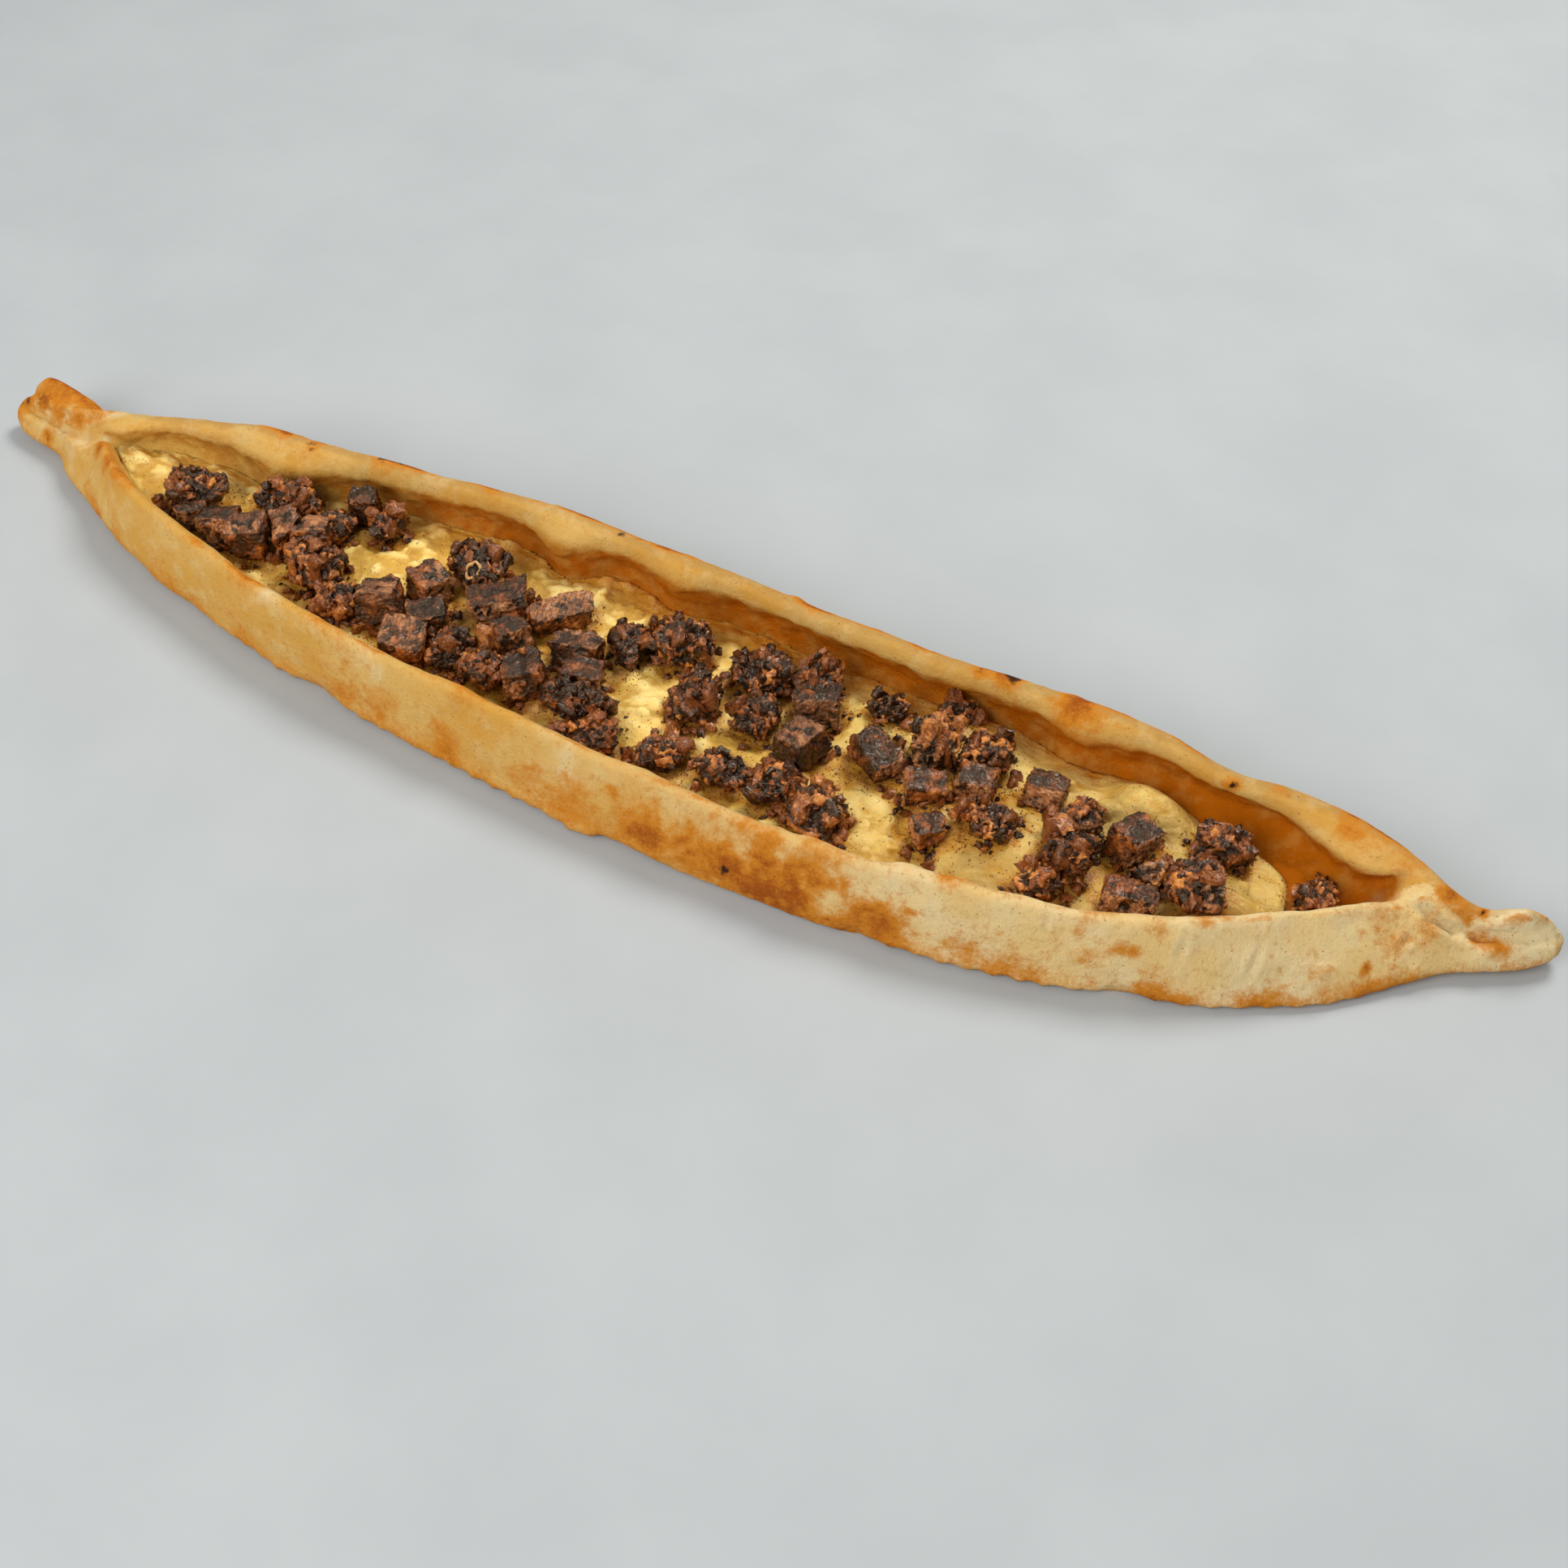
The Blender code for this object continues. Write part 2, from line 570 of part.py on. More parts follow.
def build_meat(crust, cheese):
    trees = [surface(crust), surface(cheese)]
    colour = material("roast_meat", (0.10, 0.035, 0.018), 0.38)
    draw = random.Random(11)
    lumps = []
    for number, (x, y, length, width, height, turn, kind) in enumerate(MEAT, start=1):
        mesh = lump_points(kind, number)
        swell = LUMP_SWELL[kind]
        taper_x = draw.uniform(-TAPER, TAPER) * (kind == CUBE)
        taper_y = draw.uniform(-TAPER, TAPER) * (kind == CUBE)
        tilt_x = math.radians(draw.uniform(-12, 12))
        tilt_y = math.radians(draw.uniform(-12, 12))
        start = UNDER_RIM if y > along(FAR_CREST, x) - FLAP_EDGE - NEAR_THE_FLAP else ABOVE_ALL
        seats = [height_at(trees, x + dx, y + dy, start) for dx, dy in SEAT_SPOTS]
        seat = sum(seats) / len(seats)
        centre = Vector((x, y, seat + 0.5 * height - 0.6))
        frame = (Matrix.Rotation(math.radians(turn), 3, "Z") @ Matrix.Rotation(tilt_x, 3, "X")
                 @ Matrix.Rotation(tilt_y, 3, "Y"))
        for vert in mesh.verts:
            half_x = 0.5 * length * swell * vert.co.x * (1.0 - taper_x * vert.co.z)
            half_y = 0.5 * width * swell * vert.co.y * (1.0 - taper_y * vert.co.z)
            vert.co = centre + frame @ Vector((half_x, half_y, 0.5 * height * vert.co.z))
        lumps.append((number, mesh, centre, 0.25 * (length + width), start))
    part_neighbours(lumps)
    for number, mesh, centre, _, start in lumps:
        settle(mesh, centre, trees, start)
        for vert in mesh.verts:
            vert.co *= MM
        piece = finish("meat_%02d" % number, mesh)
        piece.data.materials.append(colour)


def part_neighbours(lumps):
    """Press neighbouring lumps flat against each other, a hair apart."""
    for i, (_, mesh_a, centre_a, radius_a, _) in enumerate(lumps):
        for _, mesh_b, centre_b, radius_b, _ in lumps[i + 1:]:
            apart = centre_b - centre_a
            if apart.length > 2.2 * (radius_a + radius_b):
                continue
            normal = apart.normalized()
            middle = centre_a + apart * (radius_a / (radius_a + radius_b))
            for mesh, side in ((mesh_a, 1.0), (mesh_b, -1.0)):
                for vert in mesh.verts:
                    beyond = side * normal.dot(vert.co - middle) + GAP * 0.5
                    if beyond > 0:
                        vert.co -= side * normal * beyond


def settle(mesh, centre, trees, start):
    """Seat a lump on whatever lies below it, drawn in from a rim, so that it cuts into nothing."""
    for _ in range(12):
        for vert in mesh.verts:
            lowest = height_at(trees, vert.co.x, vert.co.y, start) + GAP
            for _ in range(6):
                if lowest < centre.z + 1.0:
                    break
                vert.co.x = mix(vert.co.x, centre.x, 0.15)
                vert.co.y = mix(vert.co.y, centre.y, 0.15)
                lowest = height_at(trees, vert.co.x, vert.co.y, start) + GAP
            vert.co.z = max(vert.co.z, lowest)
        scaled = mesh.copy()
        for vert in scaled.verts:
            vert.co *= MM
        own = BVHTree.FromBMesh(scaled)
        scaled.free()
        if not any(own.overlap(tree) for tree in trees):
            return
        for vert in mesh.verts:
            vert.co.z += 0.25


def centre_on_origin():
    """Slide everything so that the whole stands over the origin."""
    corners = [v.co for piece in bpy.data.objects for v in piece.data.vertices]
    middle_x = (min(c.x for c in corners) + max(c.x for c in corners)) / 2
    middle_y = (min(c.y for c in corners) + max(c.y for c in corners)) / 2
    for piece in bpy.data.objects:
        piece.location = (-middle_x, -middle_y, 0.0)


for old in list(bpy.data.objects):
    bpy.data.objects.remove(old)
dough = build_crust()
filling = build_cheese()
build_meat(dough, filling)
centre_on_origin()
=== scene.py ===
"""A roast meat and cheese pide: its baked boat of dough, its melted cheese and its cubes of roast meat."""
import math
import random

import bmesh
import bpy
import numpy as np
from mathutils import Matrix, Vector, noise
from mathutils.bvhtree import BVHTree
from mathutils.kdtree import KDTree


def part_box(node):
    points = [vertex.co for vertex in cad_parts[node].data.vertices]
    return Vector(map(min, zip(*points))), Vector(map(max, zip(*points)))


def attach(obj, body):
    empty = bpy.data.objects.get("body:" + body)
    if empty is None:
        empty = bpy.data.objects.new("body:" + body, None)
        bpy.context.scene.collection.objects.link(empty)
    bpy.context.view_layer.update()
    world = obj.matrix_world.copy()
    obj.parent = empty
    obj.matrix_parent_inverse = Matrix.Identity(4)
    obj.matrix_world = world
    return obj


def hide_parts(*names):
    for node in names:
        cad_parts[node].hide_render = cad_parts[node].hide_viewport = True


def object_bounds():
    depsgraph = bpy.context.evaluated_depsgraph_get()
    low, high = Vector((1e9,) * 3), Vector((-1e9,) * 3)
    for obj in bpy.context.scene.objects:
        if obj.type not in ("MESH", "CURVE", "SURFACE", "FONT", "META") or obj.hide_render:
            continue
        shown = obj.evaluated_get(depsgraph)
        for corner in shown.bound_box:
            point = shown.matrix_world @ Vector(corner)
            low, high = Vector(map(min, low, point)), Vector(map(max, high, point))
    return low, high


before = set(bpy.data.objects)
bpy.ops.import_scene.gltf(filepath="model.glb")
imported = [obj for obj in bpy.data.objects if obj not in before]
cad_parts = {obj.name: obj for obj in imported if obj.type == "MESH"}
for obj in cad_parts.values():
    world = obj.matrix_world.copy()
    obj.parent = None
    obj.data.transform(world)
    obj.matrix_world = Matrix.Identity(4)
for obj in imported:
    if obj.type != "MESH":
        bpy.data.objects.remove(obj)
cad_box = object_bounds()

# The view from above and in front that shows the whole boat, its tips at the picture's left and right edge.
# Marks of baking and the ring of fat are placed by pixel in it, and fall along its rays onto the food.
PICTURE = 1932
FILM = 36.0
FOCAL = 2477.0
EYE = Vector((0.1965, -0.3609, 0.4045))
RIGHT = Vector((0.9055, 0.4236, 0.0259))
DOWN = Vector((0.3236, -0.6495, -0.6880))
AHEAD = Vector((-0.2746, 0.6314, -0.7252))

camera = bpy.data.objects.new("camera", bpy.data.cameras.new("camera"))
camera.data.sensor_width = FILM
camera.data.lens = FILM * FOCAL / PICTURE
camera.data.clip_start = 0.01
camera.matrix_world = Matrix.Translation(EYE) @ Matrix((RIGHT, -DOWN, -AHEAD)).transposed().to_4x4()
bpy.context.scene.collection.objects.link(camera)
bpy.context.scene.camera = camera


def sight(column, row):
    """The ray that a pixel of the picture looks along."""
    across = RIGHT * ((column - PICTURE / 2) / FOCAL)
    down = DOWN * ((row - PICTURE / 2) / FOCAL)
    return (AHEAD + across + down).normalized()


# The crust: one sheet of wheat dough, its long edges rolled in and its ends pinched to points, baked until
# the rims are golden and the high edges brown. The inside soaked up butter and fat and is a deeper orange,
# deepest under the far rim, where that orange is painted shade as well as fat.
MM = 0.001
DOUGH_NET = 1.14 * MM
# How far each point is pushed out for what the rounding draws in
FULLER = 0.85
# In millimetres: the slices in which the rims are followed, from tip to tip, and the skin's gap from the box
LAST_SLICE = 244.0
SLICE = 4.0
SLICE_HALF = 3.0
INSET = 0.02
# The points that a slice takes at the least
FEWEST = 40
# Blisters of baking: how many, their radius in millimetres, and their rise as a share of it
BLISTERS = 230
BLISTER_RADIUS = (1.6, 4.6)
BLISTER_RISE = (0.07, 0.16)


def merged_copy(node, name):
    """A free copy of a CAD node's mesh, its loose triangles joined."""
    mesh = bmesh.new()
    mesh.from_mesh(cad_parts[node].data)
    bmesh.ops.remove_doubles(mesh, verts=mesh.verts, dist=1e-6)
    data = bpy.data.meshes.new(name)
    mesh.to_mesh(data)
    mesh.free()
    piece = bpy.data.objects.new(name, data)
    bpy.context.scene.collection.objects.link(piece)
    return piece


def applied(piece):
    """Give the piece the mesh that its modifiers make, and take the modifiers off."""
    bpy.context.view_layer.update()
    made = bpy.data.meshes.new_from_object(piece.evaluated_get(bpy.context.evaluated_depsgraph_get()))
    piece.modifiers.clear()
    piece.data = made
    return made


def positions(mesh):
    values = np.empty(len(mesh.vertices) * 3)
    mesh.vertices.foreach_get("co", values)
    return values.reshape(-1, 3)


def normals(mesh):
    values = np.empty(len(mesh.vertices) * 3)
    mesh.vertex_normals.foreach_get("vector", values)
    return values.reshape(-1, 3)


def set_positions(mesh, values):
    mesh.vertices.foreach_set("co", np.ascontiguousarray(values, dtype=np.float32).ravel())
    mesh.update()


def rounded(piece, levels):
    """Round the flat facets off without drawing the surface in from its own points."""
    base = positions(piece.data)
    piece.modifiers.new("rounding", "SUBSURF").levels = 1
    bpy.context.view_layer.update()
    once = piece.evaluated_get(bpy.context.evaluated_depsgraph_get())
    drawn_in = positions(once.data)[:len(base)]
    set_positions(piece.data, base + FULLER * (base - drawn_in))
    piece.modifiers["rounding"].levels = levels
    piece.modifiers["rounding"].render_levels = levels


def netted(piece, size, rounds):
    """Cover the piece with an even net of small faces."""
    net = piece.modifiers.new("net", "REMESH")
    net.mode = "VOXEL"
    net.voxel_size = size
    soft = piece.modifiers.new("soft", "SMOOTH")
    soft.factor = 0.5
    soft.iterations = rounds
    made = applied(piece)
    made.shade_smooth()
    return made


def grain(points, size, seed, octaves=1):
    """Smooth noise from about -1 to 1 whose swells are some size across."""
    total = np.zeros(len(points))
    for octave in range(octaves):
        scale = 2.0 ** octave / size
        shift = Vector((seed * 3.1, seed * 1.7, seed * 2.3 + octave * 9.1))
        total += np.array([noise.noise(Vector(p) * scale + shift) for p in points]) * 0.6 ** octave
    return total


def step(low, high, value):
    """A smooth rise from 0 at low to 1 at high, or a fall where low is the larger."""
    t = np.clip((value - low) / (high - low), 0.0, 1.0)
    return t * t * (3.0 - 2.0 * t)


def keep(mesh, name, values):
    """Store one number for each vertex, for the finish to read."""
    mesh.attributes.new(name, "FLOAT", "POINT").data.foreach_set("value", values.astype(np.float32))


def tree_of(mesh):
    """The mesh made ready for rays to be cast at it."""
    shape = bmesh.new()
    shape.from_mesh(mesh)
    tree = BVHTree.FromBMesh(shape)
    shape.free()
    return tree


def mark(tree, column, row):
    """Where a pixel's ray lands, in millimetres."""
    place = tree.ray_cast(EYE, sight(column, row))[0]
    return None if place is None else np.array(place) / MM


def spread(points, place, radius, ragged):
    """1 at a place, falling to 0 round it along an uneven outline."""
    gap = np.linalg.norm(points - place, axis=1) * (1.0 + ragged)
    return np.exp(-(gap / radius) ** 2)


def marked(entries, widen=1.0, uneven=1.0):
    """Each entry's last number, with its spread over the dough round the place that its pixel lands on."""
    for column, row, radius, strength in entries:
        place = mark(smooth_tree, column, row)
        if place is not None:
            yield strength, spread(at, place, widen * radius, uneven * ragged)


# Browned patches, by the pixel of their middle: column, row, radius in millimetres, strength
BROWNED = (
    (122, 552, 4, 0.95), (133, 565, 4, 0.85), (148, 582, 4, 0.7), (158, 596, 3, 0.5),
    (60, 538, 2.5, 0.8), (62, 475, 6, 0.8), (88, 484, 7, 0.75), (112, 498, 6, 0.8), (55, 498, 4, 0.8),
    (72, 510, 4, 0.7), (95, 514, 4, 0.6), (120, 512, 5, 0.6), (28, 505, 4, 0.7), (36, 492, 4, 0.8),
    (110, 610, 5, 0.55), (118, 628, 5, 0.6), (145, 665, 6, 0.5), (210, 722, 7, 0.45),
    (180, 640, 4, 0.3), (300, 790, 8, 0.45), (425, 850, 7, 0.6), (340, 700, 3, 0.35),
    (475, 870, 7, 0.5), (548, 912, 6, 0.65), (552, 925, 5, 0.6), (640, 955, 7, 0.5), (700, 990, 9, 0.6),
    (778, 1022, 9, 0.75), (800, 1035, 8, 0.75), (870, 1060, 10, 0.85), (905, 1078, 9, 0.9),
    (950, 1095, 9, 1.0), (985, 1108, 7, 0.9), (1060, 1128, 7, 0.75), (1090, 1140, 7, 0.75),
    (1190, 1168, 5, 0.6), (1240, 1185, 6, 0.5), (1383, 1168, 2.2, 0.8), (1398, 1171, 1.8, 0.7),
    (1340, 1180, 3, 0.45), (1430, 1148, 3, 0.45), (1115, 1068, 4.5, 0.9), (1100, 1062, 3, 0.6),
    (945, 1032, 3, 0.75), (960, 1036, 2.5, 0.6), (640, 880, 3, 0.4), (720, 905, 4, 0.4),
    (600, 862, 4, 0.4), (1683, 1192, 1.8, 0.9), (1620, 1200, 4, 0.45), (1760, 1150, 5, 0.5),
    (1720, 1165, 5, 0.5), (1700, 1130, 4, 0.4), (1846, 1166, 3.2, 0.7), (1824, 1160, 2.8, 0.65),
    (1858, 1171, 2.4, 0.5), (1000, 1068, 8, 0.7), (940, 1050, 7, 0.55), (1828, 1124, 1.6, 1.2),
    (1795, 1106, 4, 0.8), (1783, 1098, 3, 0.75), (1810, 1120, 3, 0.5), (1662, 1018, 4, 0.75),
    (1675, 1005, 3, 0.5), (1580, 975, 3, 0.5), (1519, 966, 2, 1.0), (1240, 833, 4, 0.9),
    (1262, 838, 5, 1.0), (1300, 848, 6, 1.0), (1335, 862, 6, 0.9), (1320, 875, 6, 0.75),
    (1350, 880, 5, 0.5), (1208, 826, 3, 0.8), (784, 656, 5, 0.75), (630, 606, 4, 0.6),
    (472, 566, 4, 0.65), (385, 552, 3, 0.5), (255, 512, 4, 0.9), (165, 507, 5, 0.8), (330, 527, 4, 0.5),
    (300, 518, 5, 0.5), (560, 588, 5, 0.4), (700, 624, 5, 0.4), (860, 686, 6, 0.4),
    (1430, 893, 6, 0.35), (1500, 935, 6, 0.35), (1700, 1025, 7, 0.4), (1740, 1055, 6, 0.45),
)
# Spots burnt nearly black, placed in the same way
BURNT = (
    (47, 471, 3.0, 0.9), (42, 484, 2.2, 0.8), (58, 468, 2.5, 0.8), (50, 494, 1.8, 0.5),
    (62, 503, 1.4, 0.4), (28, 497, 2.2, 0.5), (36, 491, 2.2, 0.5), (58, 541, 1.2, 0.5),
    (155, 508, 2.5, 0.8), (168, 510, 2.0, 0.7), (250, 512, 2.8, 0.9), (262, 513, 2.0, 0.8),
    (384, 546, 1.2, 0.6), (382, 555, 1.0, 0.55), (473, 566, 2.2, 1.0), (627, 606, 1.8, 0.8),
    (640, 608, 1.2, 0.7), (775, 655, 1.8, 0.7), (892, 1073, 1.6, 1.0), (1246, 834, 2.2, 0.8),
    (1285, 842, 3.0, 1.0), (1298, 846, 2.5, 1.0), (1312, 850, 2.0, 0.8), (1519, 967, 1.2, 1.0),
    (1919, 1153, 0.9, 0.55), (1828, 1125, 0.9, 0.9), (1683, 1192, 0.9, 0.6), (765, 660, 1.0, 0.8),
    (1208, 826, 1.2, 0.6), (132, 566, 1.0, 0.5), (1585, 981, 0.8, 0.5),
)
# Pale places where the rims covered the dough or it stretched thin, placed in the same way
PALE = (
    (875, 950, 5, 0.8), (905, 968, 5, 0.8), (935, 990, 4, 0.7), (1000, 1032, 4, 0.5),
    (820, 935, 4, 0.5), (78, 532, 4, 0.35), (100, 545, 4, 0.45), (88, 560, 4, 0.35), (55, 520, 4, 0.25),
    (130, 543, 1.8, 1.0), (1650, 1140, 8, 0.5), (1680, 1118, 6, 0.4), (1870, 1128, 7, 1.0),
    (1895, 1150, 7, 1.0), (1890, 1175, 6, 0.9), (1850, 1135, 5, 0.9), (1240, 1120, 6, 0.5),
    (1500, 1140, 6, 0.4), (700, 935, 4, 0.4), (450, 800, 4, 0.4), (330, 730, 3, 0.5),
)
# Swells of the near rim's edge: column, row, radius and height in millimetres
SWELLS = (
    (1113, 1070, 4.5, 1.3), (1180, 1088, 7, 0.7), (700, 905, 6, 0.8), (560, 850, 7, 0.6),
    (1000, 1040, 6, 0.8),
)
# Folds in the dough, each from its upper to its lower pixel and with how strong it is
FOLDS = (
    ((930, 1035), (924, 1066), 1.0), ((962, 1052), (958, 1086), 1.0), ((1104, 1078), (1096, 1106), 1.0),
    ((1152, 1096), (1148, 1142), 1.0), ((1292, 1120), (1286, 1150), 1.0),
    ((1466, 1140), (1446, 1196), 1.2), ((1556, 1158), (1534, 1212), 1.2), ((700, 935), (694, 962), 1.0),
    ((470, 812), (462, 845), 1.0), ((127, 541), (101, 557), 1.5), ((101, 557), (76, 579), 1.3),
    ((1696, 1108), (1664, 1160), 1.2), ((1738, 1099), (1762, 1131), 2.0),
    ((1762, 1131), (1792, 1149), 2.0), ((46, 490), (66, 507), 1.5), ((66, 507), (98, 517), 1.5),
    ((98, 517), (170, 511), 1.3), ((1788, 1147), (1868, 1151), 2.4), ((1741, 1150), (1726, 1170), 1.0),
)
# Cheese that ran up the dough at the left end of the opening, placed as the patches are
RUN_UP = (
    (148, 552, 4, 0.9), (166, 556, 5, 0.9), (190, 553, 5, 0.9), (214, 561, 5, 0.9), (240, 568, 5, 0.8),
    (262, 575, 5, 0.6),
)

crust = merged_copy("crust", "baked_crust")
rounded(crust, 2)
dough = netted(crust, DOUGH_NET, 2)
smooth_tree = tree_of(dough)
at = positions(dough) / MM
along, across, up = at.T
facing = normals(dough)

# Where each rim's crest runs, read off the dough itself in slices along the boat
slices = np.arange(-LAST_SLICE, LAST_SLICE + 1.0, SLICE)
near_line = []
far_line = []
for cut in slices:
    band = at[np.abs(along - cut) < SLICE_HALF]
    if len(band) < FEWEST:
        band = at[np.argsort(np.abs(along - cut))[:FEWEST]]
    centre = 0.5 * (band[:, 1].min() + band[:, 1].max())
    near = band[band[:, 1] < centre]
    far = band[band[:, 1] >= centre]
    near_line.append(near[near[:, 2].argmax()])
    far_line.append(far[far[:, 2].argmax()])
near_line = np.array(near_line)
far_line = np.array(far_line)
near_y = np.interp(along, slices, near_line[:, 1])
near_z = np.interp(along, slices, near_line[:, 2])
far_y = np.interp(along, slices, far_line[:, 1])
far_z = np.interp(along, slices, far_line[:, 2])

# Soft swells, a fine skin and blisters of baking
ragged = np.clip(0.55 * grain(at, 7.0, 51) + 0.45 * grain(at, 2.6, 52), -0.55, 0.8)
out = 0.45 * grain(at, 13.0, 1) + 0.16 * grain(at, 4.5, 2) + 0.05 * grain(at, 1.9, 3)
for rise, patch in marked(SWELLS, uneven=0.5):
    out += rise * patch
pick = random.Random(21)
spots = KDTree(len(at))
for index, point in enumerate(at):
    spots.insert(point, index)
spots.balance()
for _ in range(BLISTERS):
    middle = at[pick.randrange(len(at))]
    radius = pick.uniform(*BLISTER_RADIUS)
    rise = radius * pick.uniform(*BLISTER_RISE)
    for point, index, gap in spots.find_range(middle, radius):
        out[index] += rise * (1.0 - (gap / radius) ** 2) ** 2

# Folds: a sharp crease with a low ridge beside it, strongest half way along
fold_mark = np.zeros(len(at))
for upper, lower, strength in FOLDS:
    a = mark(smooth_tree, *upper)
    b = mark(smooth_tree, *lower)
    if a is None or b is None:
        continue
    along_fold = np.clip((at - a) @ (b - a) / ((b - a) @ (b - a)), 0.0, 1.0)
    gap = np.linalg.norm(at - a - along_fold[:, None] * (b - a), axis=1)
    gap = gap + 0.5 * grain(at, 5.0, 7)
    taper = strength * np.sin(math.pi * np.clip(along_fold, 0.06, 0.94))
    out += taper * (0.42 * np.exp(-((gap - 1.9) / 1.1) ** 2) - 0.55 * np.exp(-(gap / 0.9) ** 2))
    fold_mark = np.maximum(fold_mark, np.minimum(taper, 1.0) * np.exp(-((gap - 1.2) / 1.0) ** 2))

# The inside lies between the rims. Rays from each part of it tell how much of the sky the dough hides there.
in_between = step(1.0, 4.0, across - near_y) * step(-0.5, -3.0, across - far_y)
LEANS = (0.45, 1.0)
BEARINGS = (0.0, 1.05, 2.09, 3.14, 4.19, 5.24)
LONGEST_LOOK = 40.0 * MM
ways = [Vector((math.cos(turn) * math.sin(lean), math.sin(turn) * math.sin(lean), math.cos(lean)))
        for lean in LEANS for turn in BEARINGS]
sheltered = np.zeros(len(at))
within = step(1.0, 4.0, across - near_y) * step(3.0, 1.0, across - far_y)
within = within * step(0.45, 0.1, facing[:, 1])
for index in np.nonzero((within > 0.05) & (up > 2.0))[0]:
    start = Vector((at[index] + facing[index]) * MM)
    hidden = [smooth_tree.ray_cast(start, way, LONGEST_LOOK)[0] is not None for way in ways]
    sheltered[index] = sum(hidden) / len(ways)

# Cheese and fat coat the inside under the far rim, with a skin of small curds
below_flap = within * step(0.20, 0.42, sheltered)
under_flap = step(3.5, 7.5, far_z - up) * step(-1.0, -4.0, across - far_y)
under_flap = np.maximum(under_flap, below_flap)
run_up = np.zeros(len(at))
for strength, patch in marked(RUN_UP, widen=1.2):
    run_up = np.maximum(run_up, strength * patch)
coated = np.maximum(in_between, below_flap) * under_flap * step(-1.0, 1.5, across - near_y - 4.0)
coated = np.maximum(coated, run_up)
bent = at + 0.9 * np.stack([grain(at, 4.0, seed) for seed in (61, 62, 63)], axis=1)
out += coated * (0.9 * grain(bent, 6.5, 64, 2) + 0.35 * grain(bent, 2.6, 65) - 0.2)
out = np.where(up < 0.6, 0.0, out)
moved = at + facing * out[:, None]
low, high = (np.array(corner) / MM for corner in cad_box)
moved = np.clip(moved, low + INSET, high - INSET)
set_positions(dough, moved * MM)

# How brown, how burnt, how oily and how pale each part of the dough is, and its painted shade under the far
# rim
wander = grain(at, 16.0, 11, 2)
fine = grain(at, 4.0, 12, 2)
outer = 1.0 - np.maximum(in_between, below_flap)
near_side = across < 0.5 * (near_y + far_y)
crest = np.exp(-((up - np.where(near_side, near_z, far_z)) / 2.2) ** 2)
behind = step(0.0, 2.0, across - far_y) * outer
toast = 0.66 * step(10.0, 0.0, up + 1.6 * fine) * outer * (0.85 + 0.3 * wander)
toast += 0.20 * crest * step(-0.5, 0.7, wander)
toast += 0.26 * step(0.1, 0.9, wander + 0.3 * fine) * outer
rim_line = np.exp(-((across - near_y - 0.8) / 0.9) ** 2) * near_side * step(1.6, 0.2, near_z - up)
toast += 0.45 * rim_line * step(-0.6, 0.5, wander + 0.5 * fine)
back_line = np.exp(-((across - far_y - 1.6) / 1.5) ** 2) * (1.0 - near_side)
back_line = back_line * step(4.0, 1.0, far_z - up)
toast += 0.62 * back_line * step(-0.7, 0.3, wander + 0.5 * fine)
toast += 0.42 * behind * step(-0.4, 0.7, wander + 0.4 * fine) * step(12.0, 22.0, up)
for strength, patch in marked(BROWNED, widen=1.15):
    toast = np.maximum(toast, toast * 0.4 + 0.9 * strength * patch)
burn = np.zeros(len(at))
for strength, patch in marked(BURNT):
    burn = np.maximum(burn, strength * patch)
burn = np.maximum(burn, 0.8 * behind * crest * step(0.5, 0.9, wander + 0.5 * fine))
pale = np.zeros(len(at))
for strength, patch in marked(PALE):
    pale = np.maximum(pale, strength * patch)
oil = coated * (1.0 - step(203.0, 212.0, along))
# Fat stain and painted shade: orange in a band under the far rim and along the right slope, for fat and
# shadow
fat_stain_and_shade = oil * (0.20 + 0.80 * step(-110.0, 20.0, along)) * step(7.0, 14.0, up + 1.5 * fine)
fat_stain_and_shade = np.maximum(fat_stain_and_shade, oil * step(85.0, 125.0, along))
# Painted shade: dough that hides much of the sky under the flap is coloured deep orange and given the oily
# coat
flap_shade = below_flap * step(-205.0, -190.0, along)
fat_stain_and_shade = np.maximum(fat_stain_and_shade, flap_shade * (0.42 + 0.58 * step(-175.0, -70.0, along)) * (0.9 + 0.25 * fine))
keep(dough, "toast", np.clip(toast, 0.0, 1.0))
keep(dough, "burn", np.clip(burn, 0.0, 1.0))
keep(dough, "oil", np.clip(np.maximum(oil, flap_shade), 0.0, 1.0))
keep(dough, "fat_stain_and_shade", np.clip(fat_stain_and_shade, 0.0, 1.0))
keep(dough, "pale", np.clip(np.maximum(pale, 0.6 * fold_mark), 0.0, 1.0))
left_coat = coated * (1.0 - step(-170.0, -60.0, along))
curdled = step(-0.3, 0.9, grain(bent, 6.5, 64, 2))
keep(dough, "cheesy", np.clip(np.maximum(run_up, 0.8 * left_coat * curdled), 0.0, 1.0))
keep(dough, "far", outer * (1.0 - near_side) * step(-215.0, -190.0, along))
keep(dough, "golden", np.maximum(step(140.0, -40.0, along), 1.0 - near_side))


